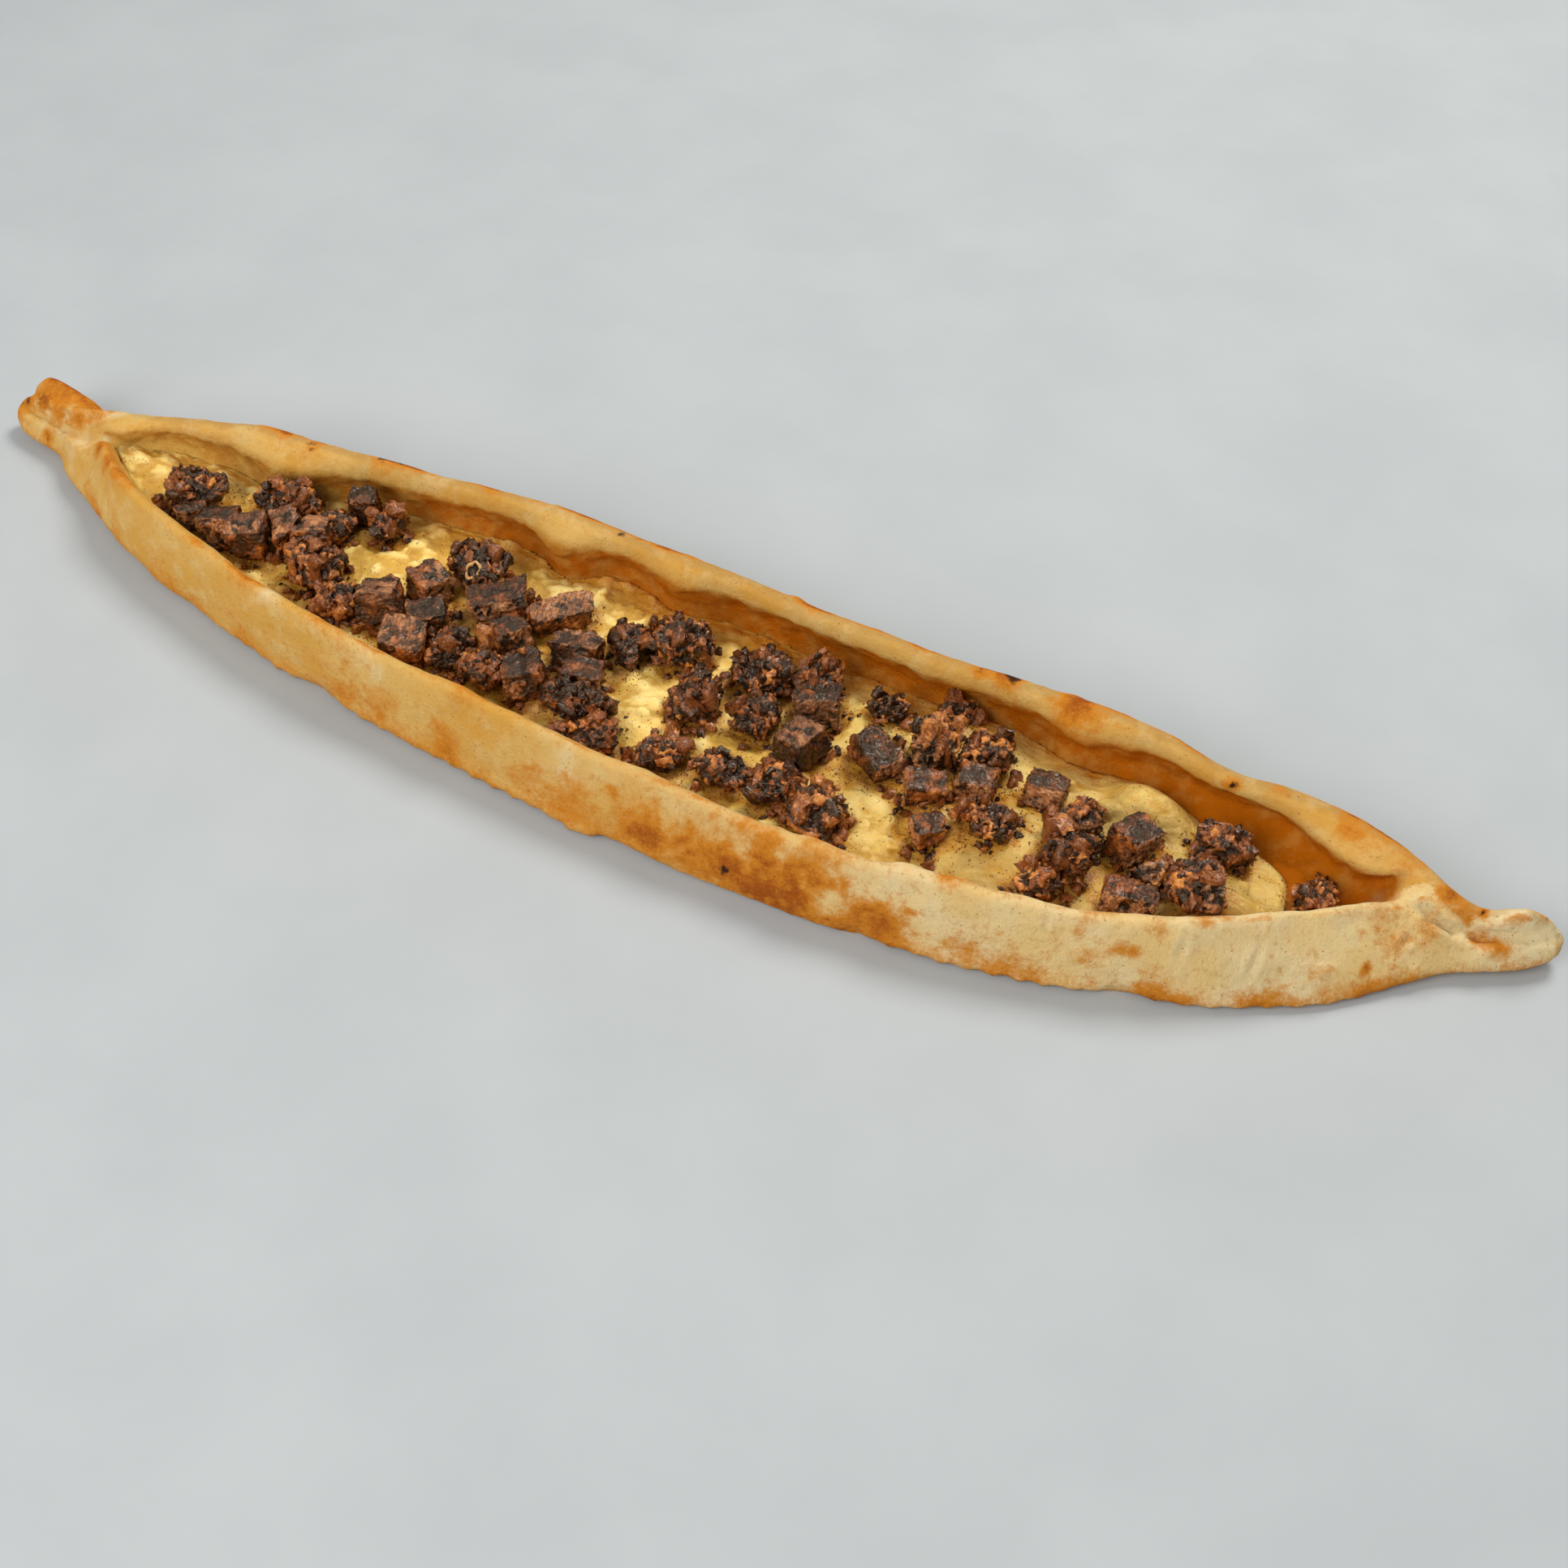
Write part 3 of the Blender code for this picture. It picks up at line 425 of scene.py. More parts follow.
class Finish:
    """A material built step by step: each call adds one node and gives back its output."""

    def __init__(self, name):
        self.material = bpy.data.materials.new(name)
        self.material.use_nodes = True
        self.nodes = self.material.node_tree.nodes
        self.shader = self.nodes["Principled BSDF"]
        place = self.nodes.new("ShaderNodeTexCoord")
        scaled = self.nodes.new("ShaderNodeVectorMath")
        scaled.operation = "SCALE"
        scaled.inputs["Scale"].default_value = 1.0 / MM
        self.join(place.outputs["Object"], scaled.inputs[0])
        self.place = scaled.outputs[0]

    def join(self, source, target):
        self.material.node_tree.links.new(source, target)

    def feed(self, value, socket):
        """Join another node's output to a socket, or set a plain number or colour on it."""
        if isinstance(value, bpy.types.NodeSocket):
            self.join(value, socket)
        elif isinstance(value, tuple):
            socket.default_value = (*value, 1.0) if len(value) == 3 and socket.type == "RGBA" else value
        else:
            socket.default_value = value

    def noise(self, size, detail=3.0, rough=0.55, place=None):
        node = self.nodes.new("ShaderNodeTexNoise")
        node.inputs["Scale"].default_value = 1.0 / size
        node.inputs["Detail"].default_value = detail
        node.inputs["Roughness"].default_value = rough
        self.join(place or self.place, node.inputs["Vector"])
        return node.outputs["Fac"]

    def cells(self, size):
        node = self.nodes.new("ShaderNodeTexVoronoi")
        node.inputs["Scale"].default_value = 1.0 / size
        self.join(self.place, node.inputs["Vector"])
        return node.outputs["Distance"]

    def kept(self, name, output="Fac"):
        """What was stored for each vertex under a name."""
        node = self.nodes.new("ShaderNodeAttribute")
        node.attribute_name = name
        return node.outputs[output]

    def reckon(self, operation, a, b):
        node = self.nodes.new("ShaderNodeMath")
        node.operation = operation
        self.feed(a, node.inputs[0])
        self.feed(b, node.inputs[1])
        return node.outputs[0]

    def plus(self, a, b):
        return self.reckon("ADD", a, b)

    def times(self, a, b):
        return self.reckon("MULTIPLY", a, b)

    def swing(self, pattern, amount):
        """How far a pattern goes to either side of its middle, by an amount."""
        return self.times(self.reckon("SUBTRACT", pattern, 0.5), amount)

    def fade(self, value, low, high, to_low=0.0, to_high=1.0):
        """A smooth turn from one number to another as the value goes from low to high."""
        node = self.nodes.new("ShaderNodeMapRange")
        node.interpolation_type = "SMOOTHSTEP"
        self.feed(value, node.inputs["Value"])
        ends = {"From Min": low, "From Max": high, "To Min": to_low, "To Max": to_high}
        for name, number in ends.items():
            node.inputs[name].default_value = number
        return node.outputs["Result"]

    def blend(self, amount, a, b):
        node = self.nodes.new("ShaderNodeMix")
        node.data_type = "RGBA"
        self.feed(amount, node.inputs["Factor"])
        self.feed(a, node.inputs["A"])
        self.feed(b, node.inputs["B"])
        return node.outputs["Result"]

    def bump(self, height, depth):
        node = self.nodes.new("ShaderNodeBump")
        node.inputs["Distance"].default_value = depth
        self.join(height, node.inputs["Height"])
        self.join(node.outputs["Normal"], self.shader.inputs["Normal"])

    def soft(self, weight, radius):
        """Light soaks into the surface by a few millimetres."""
        self.set(Subsurface_Weight=weight, Subsurface_Radius=radius, Subsurface_Scale=1.0)

    def set(self, **inputs):
        for name, value in inputs.items():
            self.feed(value, self.shader.inputs[name.replace("_", " ")])


def baked_dough():
    """Golden dough, deeper to the left and behind, toasted on its edges, burnt in spots, painted shade under
    the rim.
    """
    made = Finish("baked_dough")
    deep_gold, brown_gold = (0.82, 0.50, 0.145), (0.77, 0.40, 0.075)
    straw, honey = (0.98, 0.76, 0.41), (0.95, 0.65, 0.26)
    far_rim, cream, tan = (0.54, 0.31, 0.095), (0.86, 0.64, 0.28), (0.66, 0.30, 0.05)
    dark_butter, butter = (0.70, 0.34, 0.045), (0.84, 0.52, 0.12)
    orange, curd_yellow, white = (0.56, 0.145, 0.002), (0.90, 0.60, 0.14), (0.98, 0.82, 0.48)
    toasted, crisp, charred = (0.73, 0.265, 0.022), (0.42, 0.095, 0.007), (0.045, 0.014, 0.006)
    freckle = (0.42, 0.16, 0.03)
    broad = made.noise(24.0, 3.0)
    middling = made.noise(7.0, 4.0, 0.6)
    small = made.noise(2.2, 4.0, 0.65)
    tiny = made.noise(0.8, 3.0, 0.6)
    left = made.blend(made.fade(broad, 0.35, 0.65), deep_gold, brown_gold)
    right = made.blend(made.fade(broad, 0.35, 0.65), straw, honey)
    tone = made.blend(made.kept("golden"), right, left)
    tone = made.blend(made.times(made.kept("far"), 0.75), tone, far_rim)
    tone = made.blend(made.fade(middling, 0.45, 0.70, 0.0, 0.5), tone, cream)
    tone = made.blend(made.fade(small, 0.50, 0.74, 0.0, 0.45), tone, tan)
    coat = made.blend(made.fade(middling, 0.38, 0.62), dark_butter, butter)
    oiled = made.blend(made.times(made.kept("oil"), made.fade(small, 0.3, 0.6, 0.8, 1.0)), tone, coat)
    # Painted shade together with the fat's own stain: deep orange under the far rim and on the right slope
    soaked_and_shaded = made.times(made.kept("fat_stain_and_shade"), made.fade(middling, 0.42, 0.68, 1.0, 0.76))
    stained_and_shaded = made.blend(soaked_and_shaded, oiled, orange)
    stained_and_shaded = made.blend(made.kept("cheesy"), stained_and_shaded, curd_yellow)
    mottle = made.plus(made.swing(middling, 0.7), made.swing(small, 0.6))
    mottle = made.plus(mottle, made.swing(tiny, 0.45))
    bare = made.times(made.kept("pale"), made.fade(middling, 0.25, 0.6, 0.6, 1.0))
    light = made.blend(bare, stained_and_shaded, white)
    brown = made.plus(made.kept("toast"), mottle)
    golden = made.blend(made.fade(brown, 0.08, 0.70), light, toasted)
    golden = made.blend(made.fade(brown, 0.60, 1.08), golden, crisp)
    scorch = made.plus(made.kept("burn"), made.swing(small, 1.2))
    burnt = made.blend(made.fade(scorch, 0.25, 0.75), golden, charred)
    dot = made.fade(made.cells(1.9), 0.19, 0.08)
    rare = made.fade(made.noise(3.9, 1.0), 0.47, 0.54)
    speckled = made.blend(made.times(made.times(dot, rare), 0.6), burnt, freckle)
    gloss = made.fade(made.plus(made.kept("oil"), made.times(middling, 0.4)), 0.3, 1.2, 0.66, 0.34)
    made.set(Base_Color=speckled, Roughness=gloss, Specular_IOR_Level=0.16, Specular_Tint=(1.0, 0.80, 0.55))
    made.soft(0.10, (2.4 * MM, 1.1 * MM, 0.5 * MM))
    skin = made.plus(made.times(made.noise(1.3, 6.0, 0.75), 0.9), made.times(middling, 0.5))
    made.bump(skin, 1.3 * MM)
    return made.material


dough.materials.clear()
dough.materials.append(baked_dough())
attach(crust, "root")
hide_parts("crust")


# The cheese: grated fresh cheese that melted over the dough, blew up in bubbles and pillows and set again.
# It is pale yellow, browner and oily round the meat, and peppered with specks of spice. Its risen tops carry
# a painted highlight, and its hollows and the strip under the far rim carry painted shade.
CHEESE_NET = 0.8 * MM
# Curds, in millimetres across
CURD = 6.4
SMALL_CURD = 3.0

cheese = merged_copy("cheese", "cheese_filling")
rounded(cheese, 1)
filling = netted(cheese, CHEESE_NET, 3)
at = positions(filling) / MM
along, across, up = at.T
facing = normals(filling)
lump_names = sorted(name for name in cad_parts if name.startswith("meat_"))
lump_boxes = [[np.array(corner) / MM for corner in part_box(name)] for name in lump_names]

# How far each point is from the nearest lump of meat, seen from above
FAR_OFF = 99.0
reach = np.full(len(at), FAR_OFF)
for corner_low, corner_high in lump_boxes:
    middle = 0.5 * (corner_low + corner_high)
    half = 0.5 * (corner_high - corner_low)[:2]
    gap = np.linalg.norm((at[:, :2] - middle[:2]) / half, axis=1) * half.mean() - half.mean()
    reach = np.minimum(reach, gap)

# Curds and bubbles stand up towards the left, and the pillows on the right are calmer and wrinkled
upward = step(0.1, 0.6, facing[:, 2])
bent = at + 0.9 * np.stack([grain(at, 4.0, seed) for seed in (61, 62, 63)], axis=1)
curd = np.array([noise.voronoi(Vector(p) / CURD)[0][0] for p in bent])
curd_small = np.array([noise.voronoi(Vector(p) / SMALL_CURD + Vector((5, 5, 5)))[0][0] for p in bent])
bubbly = grain(at, 26.0, 31) + 0.6 * step(40.0, -80.0, along) - 0.5 * step(60.0, 130.0, along)
bubbly = 0.25 + 0.95 * step(-0.4, 0.5, bubbly)
wrinkled = step(20.0, 80.0, along)
creases = grain(at * np.array((0.45, 1.5, 1.0)), 3.4, 34, 2)
out = bubbly * (2.0 * (0.42 - curd) + 0.9 * (0.4 - curd_small)) + 0.45 * grain(at, 8.0, 32, 2)
out += 0.6 * wrinkled * (0.25 - np.abs(creases))
out = np.clip(out, -1.2, 1.3) * upward + 0.7 * (1.0 - upward) * step(-0.6, -0.1, facing[:, 2])
set_positions(filling, (at + facing * out[:, None]) * MM)

# Where it is greasy by the meat, hollow (painted shade), raised (a painted highlight), stained orange under
# the far rim with painted shade there as well, or thick and creamy
far_gap = np.interp(along, slices, far_line[:, 1]) - across
keep(filling, "grease", step(5.0, -0.5, reach + 2.4 * grain(at, 6.0, 33, 2)))
# Painted shade: the hollows between the curds and the low places on the right are darkened
low_lying = step(10.5, 5.5, up + 1.2 * grain(at, 7.0, 37)) * step(40.0, 90.0, along)
keep(filling, "hollow", np.clip(np.maximum(0.5 - 0.8 * out, 0.9 * low_lying), 0.0, 1.0))
keep(filling, "raised", step(0.0, 1.3, out))
# The strip under the far rim turns orange: fat from the dough, and painted shade of the rim as well
under_rim = step(14.0, 5.0, far_gap + 2.5 * grain(at, 9.0, 35))
under_rim = under_rim * (0.15 + 0.85 * step(-140.0, -20.0, along))
keep(filling, "fat_stain_and_shade", under_rim * (1.0 - 0.75 * step(70.0, 120.0, along) * step(9.5, 12.0, up)))
keep(filling, "cream", step(40.0, 110.0, along) * step(8.5, 13.0, up + 1.2 * grain(at, 12.0, 36)))


def melted_cheese():
    """Pale yellow cheese, oily by the meat, orange under the rim, and peppered; a painted highlight where it
    rose, and painted shade in its hollows and under the rim.
    """
    made = Finish("melted_cheese")
    yellow, deep_yellow, light_yellow = (0.90, 0.65, 0.20), (0.86, 0.56, 0.13), (0.92, 0.73, 0.29)
    pillow, risen_highlight, hollow_shade = (0.50, 0.32, 0.080), (0.92, 0.74, 0.32), (0.56, 0.28, 0.022)
    orange, grease, dark_grease = (0.55, 0.20, 0.010), (0.50, 0.205, 0.014), (0.22, 0.065, 0.008)
    pepper = (0.15, 0.04, 0.008)
    broad = made.noise(20.0, 3.0)
    middling = made.noise(6.0, 4.0)
    small = made.noise(1.6, 4.0, 0.6)
    tone = made.blend(made.fade(broad, 0.35, 0.68), yellow, deep_yellow)
    tone = made.blend(made.fade(middling, 0.42, 0.68, 0.0, 0.6), tone, light_yellow)
    creamy = made.times(made.kept("cream"), made.fade(middling, 0.3, 0.6, 0.6, 0.95))
    tone = made.blend(creamy, tone, pillow)
    # Painted highlight: the tops of the risen curds are paler, less so on the creamy pillows
    raised = made.times(made.kept("raised"), made.fade(made.kept("cream"), 0.0, 1.0, 0.75, 0.2))
    tone = made.blend(raised, tone, risen_highlight)
    # Painted shade in the hollows
    tone = made.blend(made.fade(made.kept("hollow"), 0.45, 1.0, 0.0, 0.7), tone, hollow_shade)
    # Orange under the far rim: fat stain and painted shade
    soaked_and_shaded = made.times(made.kept("fat_stain_and_shade"), made.fade(middling, 0.3, 0.65, 0.95, 0.5))
    tone = made.blend(soaked_and_shaded, tone, orange)
    stain = made.plus(made.kept("grease"), made.swing(middling, 1.5))
    stain = made.plus(stain, made.swing(small, 0.6))
    greasy = made.blend(made.fade(stain, 0.2, 0.85, 0.0, 0.75), tone, grease)
    greasy = made.blend(made.fade(stain, 0.75, 1.3, 0.0, 0.8), greasy, dark_grease)
    dot = made.fade(made.cells(0.95), 0.30, 0.16)
    rare = made.fade(made.plus(made.noise(4.5, 2.0), made.times(made.kept("grease"), 0.18)), 0.49, 0.60)
    peppered = made.blend(made.times(made.times(dot, rare), 0.85), greasy, pepper)
    gloss = made.fade(made.plus(made.kept("grease"), middling), 0.4, 1.3, 0.40, 0.20)
    made.set(Base_Color=peppered, Roughness=gloss, Specular_IOR_Level=0.35, Specular_Tint=(1.0, 0.88, 0.66))
    made.soft(0.25, (4.0 * MM, 1.8 * MM, 0.5 * MM))
    made.bump(made.plus(made.times(small, 0.6), made.times(middling, 0.7)), 0.9 * MM)
    return made.material


filling.materials.clear()
filling.materials.append(melted_cheese())
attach(cheese, "root")
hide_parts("cheese")


# The meat: roast beef cut in cubes and torn in crumbly lumps, browned outside and glazed with its own fat
# and juice. Each lump is made of fragments that tore along the grain, some charred, some still red-brown.
MEAT_NET = 0.42 * MM
# Torn fragments, in millimetres across
BIG_BIT = 4.2
SMALL_BIT = 2.0
# A cut cube has more points than this in its solid, and a torn lump has fewer
CUBE_POINTS = 300
# The wet shine of the juice, the same all over
GLAZE = {"Specular_IOR_Level": 0.65, "Specular_Tint": (1.0, 0.74, 0.52),
         "Coat_Weight": 0.20, "Coat_Roughness": 0.08}
TOP = (0.0, 0.0, 1.0)
FRONT = (-0.30, -0.90, 0.25)
RIGHT_END = (0.85, -0.35, 0.30)
LEFT_END = (-0.85, -0.45, 0.25)
# Lumps charred darker than the rest
CHARRED = {1, 5, 10, 19, 26, 28, 30, 31, 34, 35, 36, 52, 57}
# Lumps with a fresh cut face: how light it is, and the way it faces
CUT_FACES = {
    2: (0.6, FRONT), 3: (0.6, FRONT), 4: (0.9, TOP), 6: (0.6, TOP), 7: (0.9, TOP), 8: (0.35, RIGHT_END),
    10: (0.4, FRONT), 13: (0.7, TOP), 14: (0.7, RIGHT_END), 15: (0.8, FRONT), 16: (0.5, TOP),
    17: (0.4, FRONT), 20: (0.7, FRONT), 21: (0.5, RIGHT_END), 22: (1.0, TOP), 23: (0.8, TOP),
    24: (0.5, FRONT), 25: (0.6, RIGHT_END), 33: (1.0, FRONT), 35: (0.6, TOP), 37: (0.7, RIGHT_END),
    42: (0.6, FRONT), 44: (0.5, FRONT), 46: (0.7, FRONT), 47: (0.7, LEFT_END), 49: (0.8, FRONT),
    50: (0.5, RIGHT_END), 51: (0.8, RIGHT_END), 54: (0.8, FRONT), 55: (0.5, TOP), 56: (0.9, RIGHT_END),
}


def roast_meat():
    """Torn flesh from charred to red-brown, paler cut faces with fibres, and painted shade in the gaps
    between the bits.
    """
    made = Finish("roast_meat")
    black, dark_brown = (0.020, 0.007, 0.002), (0.105, 0.027, 0.006)
    red_brown, rust = (0.34, 0.088, 0.014), (0.68, 0.25, 0.048)
    fibre_dark, fibre_light = (0.22, 0.068, 0.022), (0.54, 0.235, 0.090)
    cut_brown, cut_dark, gap_shadow = (0.36, 0.115, 0.035), (0.09, 0.026, 0.010), (0.010, 0.004, 0.002)
    fibre = made.noise(1.0, 3.0, 0.55, made.kept("thread", "Vector"))
    middling = made.noise(3.2, 4.0, 0.6)
    small = made.noise(1.0, 4.0, 0.65)
    shade = made.plus(made.kept("tone"), made.swing(middling, 0.9))
    shade = made.plus(shade, made.swing(small, 0.7))
    torn = made.blend(made.fade(shade, 0.16, 0.40), black, dark_brown)
    torn = made.blend(made.fade(shade, 0.38, 0.62), torn, red_brown)
    torn = made.blend(made.fade(shade, 0.60, 0.86), torn, rust)
    cut = made.blend(made.fade(fibre, 0.38, 0.60), fibre_dark, fibre_light)
    cut = made.blend(made.fade(middling, 0.52, 0.72, 0.0, 0.6), cut, cut_brown)
    cut = made.blend(made.fade(shade, 0.15, 0.5, 0.8, 0.0), cut, cut_dark)
    amount = made.plus(made.kept("cut"), made.swing(middling, 1.1))
    flesh = made.blend(made.fade(amount, 0.30, 0.60), torn, cut)
    # Painted shade: the gaps between the bits and the foot of each lump go near black
    shaded = made.blend(made.fade(made.kept("deep"), 0.38, 0.80, 0.0, 0.92), flesh, gap_shadow)
    made.set(Base_Color=shaded, Roughness=made.fade(middling, 0.38, 0.66, 0.14, 0.34), **GLAZE)
    made.soft(0.04, (1.2 * MM, 0.4 * MM, 0.2 * MM))
    beads = made.times(made.noise(0.7, 2.0, 0.6), 0.3)
    relief = made.plus(made.times(small, 0.9), made.times(fibre, 0.6))
    made.bump(made.plus(relief, beads), 0.6 * MM)
    return made.material


def chance(place, turn):
    """A number from 0 to 1 that is always the same for one fragment."""
    value = math.sin(place.x * 12.99 + place.y * 78.23 + place.z * 37.72 + turn) * 43758.55
    return value - math.floor(value)


def fragments(points, size):
    """Which torn fragment each point is in: its lift, how deep in the gap beside it, and its tone."""
    lift = np.empty(len(points))
    gap = np.empty(len(points))
    tone = np.empty(len(points))
    for index, point in enumerate(points):
        scaled = Vector(point) / size
        gaps, middles = noise.voronoi(scaled)
        own = middles[0]
        tilt = Vector((chance(own, 1.0) - 0.5, chance(own, 2.0) - 0.5, chance(own, 3.0) - 0.5))
        lift[index] = (chance(own, 4.0) - 0.5 + 1.6 * tilt.dot(scaled - own)) * size
        gap[index] = gaps[1] - gaps[0]
        tone[index] = chance(own, 5.0)
    return lift, 1.0 - step(0.0, 0.22, gap), tone


meat_finish = roast_meat()
draw = random.Random(9)
lump_meshes = []
lump_cover = []
lump_lots = []
for number, name in enumerate(lump_names, start=1):
    corner_low, corner_high = lump_boxes[number - 1]
    cubic = len(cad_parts[name].data.vertices) > CUBE_POINTS
    lump = merged_copy(name, "lump_" + name[-2:])
    if not cubic:
        rounded(lump, 1)
    flesh = netted(lump, MEAT_NET, 2 if cubic else 1)
    at = positions(flesh) / MM
    facing = normals(flesh)
    # The way the fibres run, and a fresh cut face where there is one
    middle = 0.5 * (corner_low + corner_high)
    turn = Matrix.Rotation(draw.uniform(0, math.pi), 3, "Z")
    turn = turn @ Matrix.Rotation(draw.uniform(-0.5, 0.5), 3, "X")
    turned = (at - middle) @ np.array(turn)
    threads = turned * np.array((0.22, 1.3, 1.3)) + number * 3.7
    fresh, fresh_way = CUT_FACES.get(number, (0.0, TOP))
    # Torn fragments with gaps between them, clumps and pits, less of it all on a cut cube
    torn = draw.uniform(0.32, 0.5) if cubic else draw.uniform(0.9, 1.15)
    bent = at + 1.2 * np.stack([grain(at, 3.0, seed, 2) for seed in (71, 72, 73)], axis=1)
    bent = bent + number * 11.3
    big_lift, big_gap, big_tone = fragments(bent, BIG_BIT)
    small_lift, small_gap, small_tone = fragments(bent + 40.0, SMALL_BIT)
    clumps = grain(bent, 3.6, number + 5, 3)
    pits = step(0.12, 0.5, grain(bent, 3.0, number + 6, 2))
    out = torn * (0.75 * clumps + 0.24 * big_lift - 0.40 * big_gap
                  + 0.30 * small_lift - 0.22 * small_gap - 0.9 * pits)
    swollen, stringy = (0.35, 0.28) if cubic else (1.1, 0.1)
    out += swollen * grain(at, 5.5, number, 2) + stringy * grain(threads, 1.0, number + 3, 2)
    out = np.clip(out, -2.0, 1.4)
    rise = at[:, 2] - corner_low[2]
    out = np.where(rise < 0.5, np.minimum(out, 0.0), out)
    set_positions(flesh, np.minimum((at + facing * out[:, None]) * MM, cad_box[1]))
    # Gaps and the foot are painted dark as shade, cut faces bare, and each lump a little lighter or darker
    # than the next
    sunk = 0.30 - 0.45 * out + 0.55 * pits * torn + 0.3 * big_gap * torn
    sunk += 0.25 * (1.0 - step(0.0, 3.0, rise))
    keep(flesh, "deep", np.clip(sunk, 0.0, 1.0))
    toward = facing @ (np.array(fresh_way) / np.linalg.norm(fresh_way))
    bare = fresh * step(0.35, 0.8, toward + 0.25 * grain(at, 4.0, number + 8)) * (1.0 - 0.6 * pits)
    lot = draw.uniform(-0.08, 0.10) + 0.03 * (middle[0] > 70.0) - 0.16 * (number in CHARRED)
    if cubic:
        tone = 0.34 + lot + 0.16 * small_tone + 0.30 * grain(at, 4.5, number + 9) - 0.16 * facing[:, 2]
    else:
        tone = 0.14 + lot + 0.46 * big_tone + 0.34 * small_tone
    # Painted light and shade: raised bits are a little lighter and sunk ones a little darker
    keep(flesh, "tone", np.clip(tone + 0.12 * np.clip(out, -1.0, 1.0), 0.0, 1.1))
    keep(flesh, "cut", np.clip(bare, 0.0, 1.0))
    grain_way = flesh.attributes.new("thread", "FLOAT_VECTOR", "POINT")
    grain_way.data.foreach_set("vector", threads.astype(np.float32).ravel())
    flesh.materials.clear()
    flesh.materials.append(meat_finish)
    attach(lump, "root")
    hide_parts(name)
    lump_meshes.append(flesh)
    lump_lots.append(np.full(len(at), lot))
    crusty = 0.03 if cubic else 1.0
    lump_cover.append(crusty * step(-0.6, 0.3, facing[:, 2]) * (1.0 - step(0.1, 0.4, bare)))


# Scraps and crumbs of the meat: what broke off when it was chopped, stuck in the cheese round the lumps and
# on the lumps themselves, with fine crumbs and spice sprinkled further out.
KINDS_OF_BIT = 4
# A bit starts as a cube of side 1: how far noise pushes it out of shape, and how it is stretched each way
PUSHED = 1.9
PUSHED_SCALE = 1.7
LEAST_STRETCH = (0.7, 0.5, 0.4)
MOST_STRETCH = (1.6, 1.1, 0.9)
# Edges that turn by more than this many radians stay sharp
SHARP_EDGE = 1.5


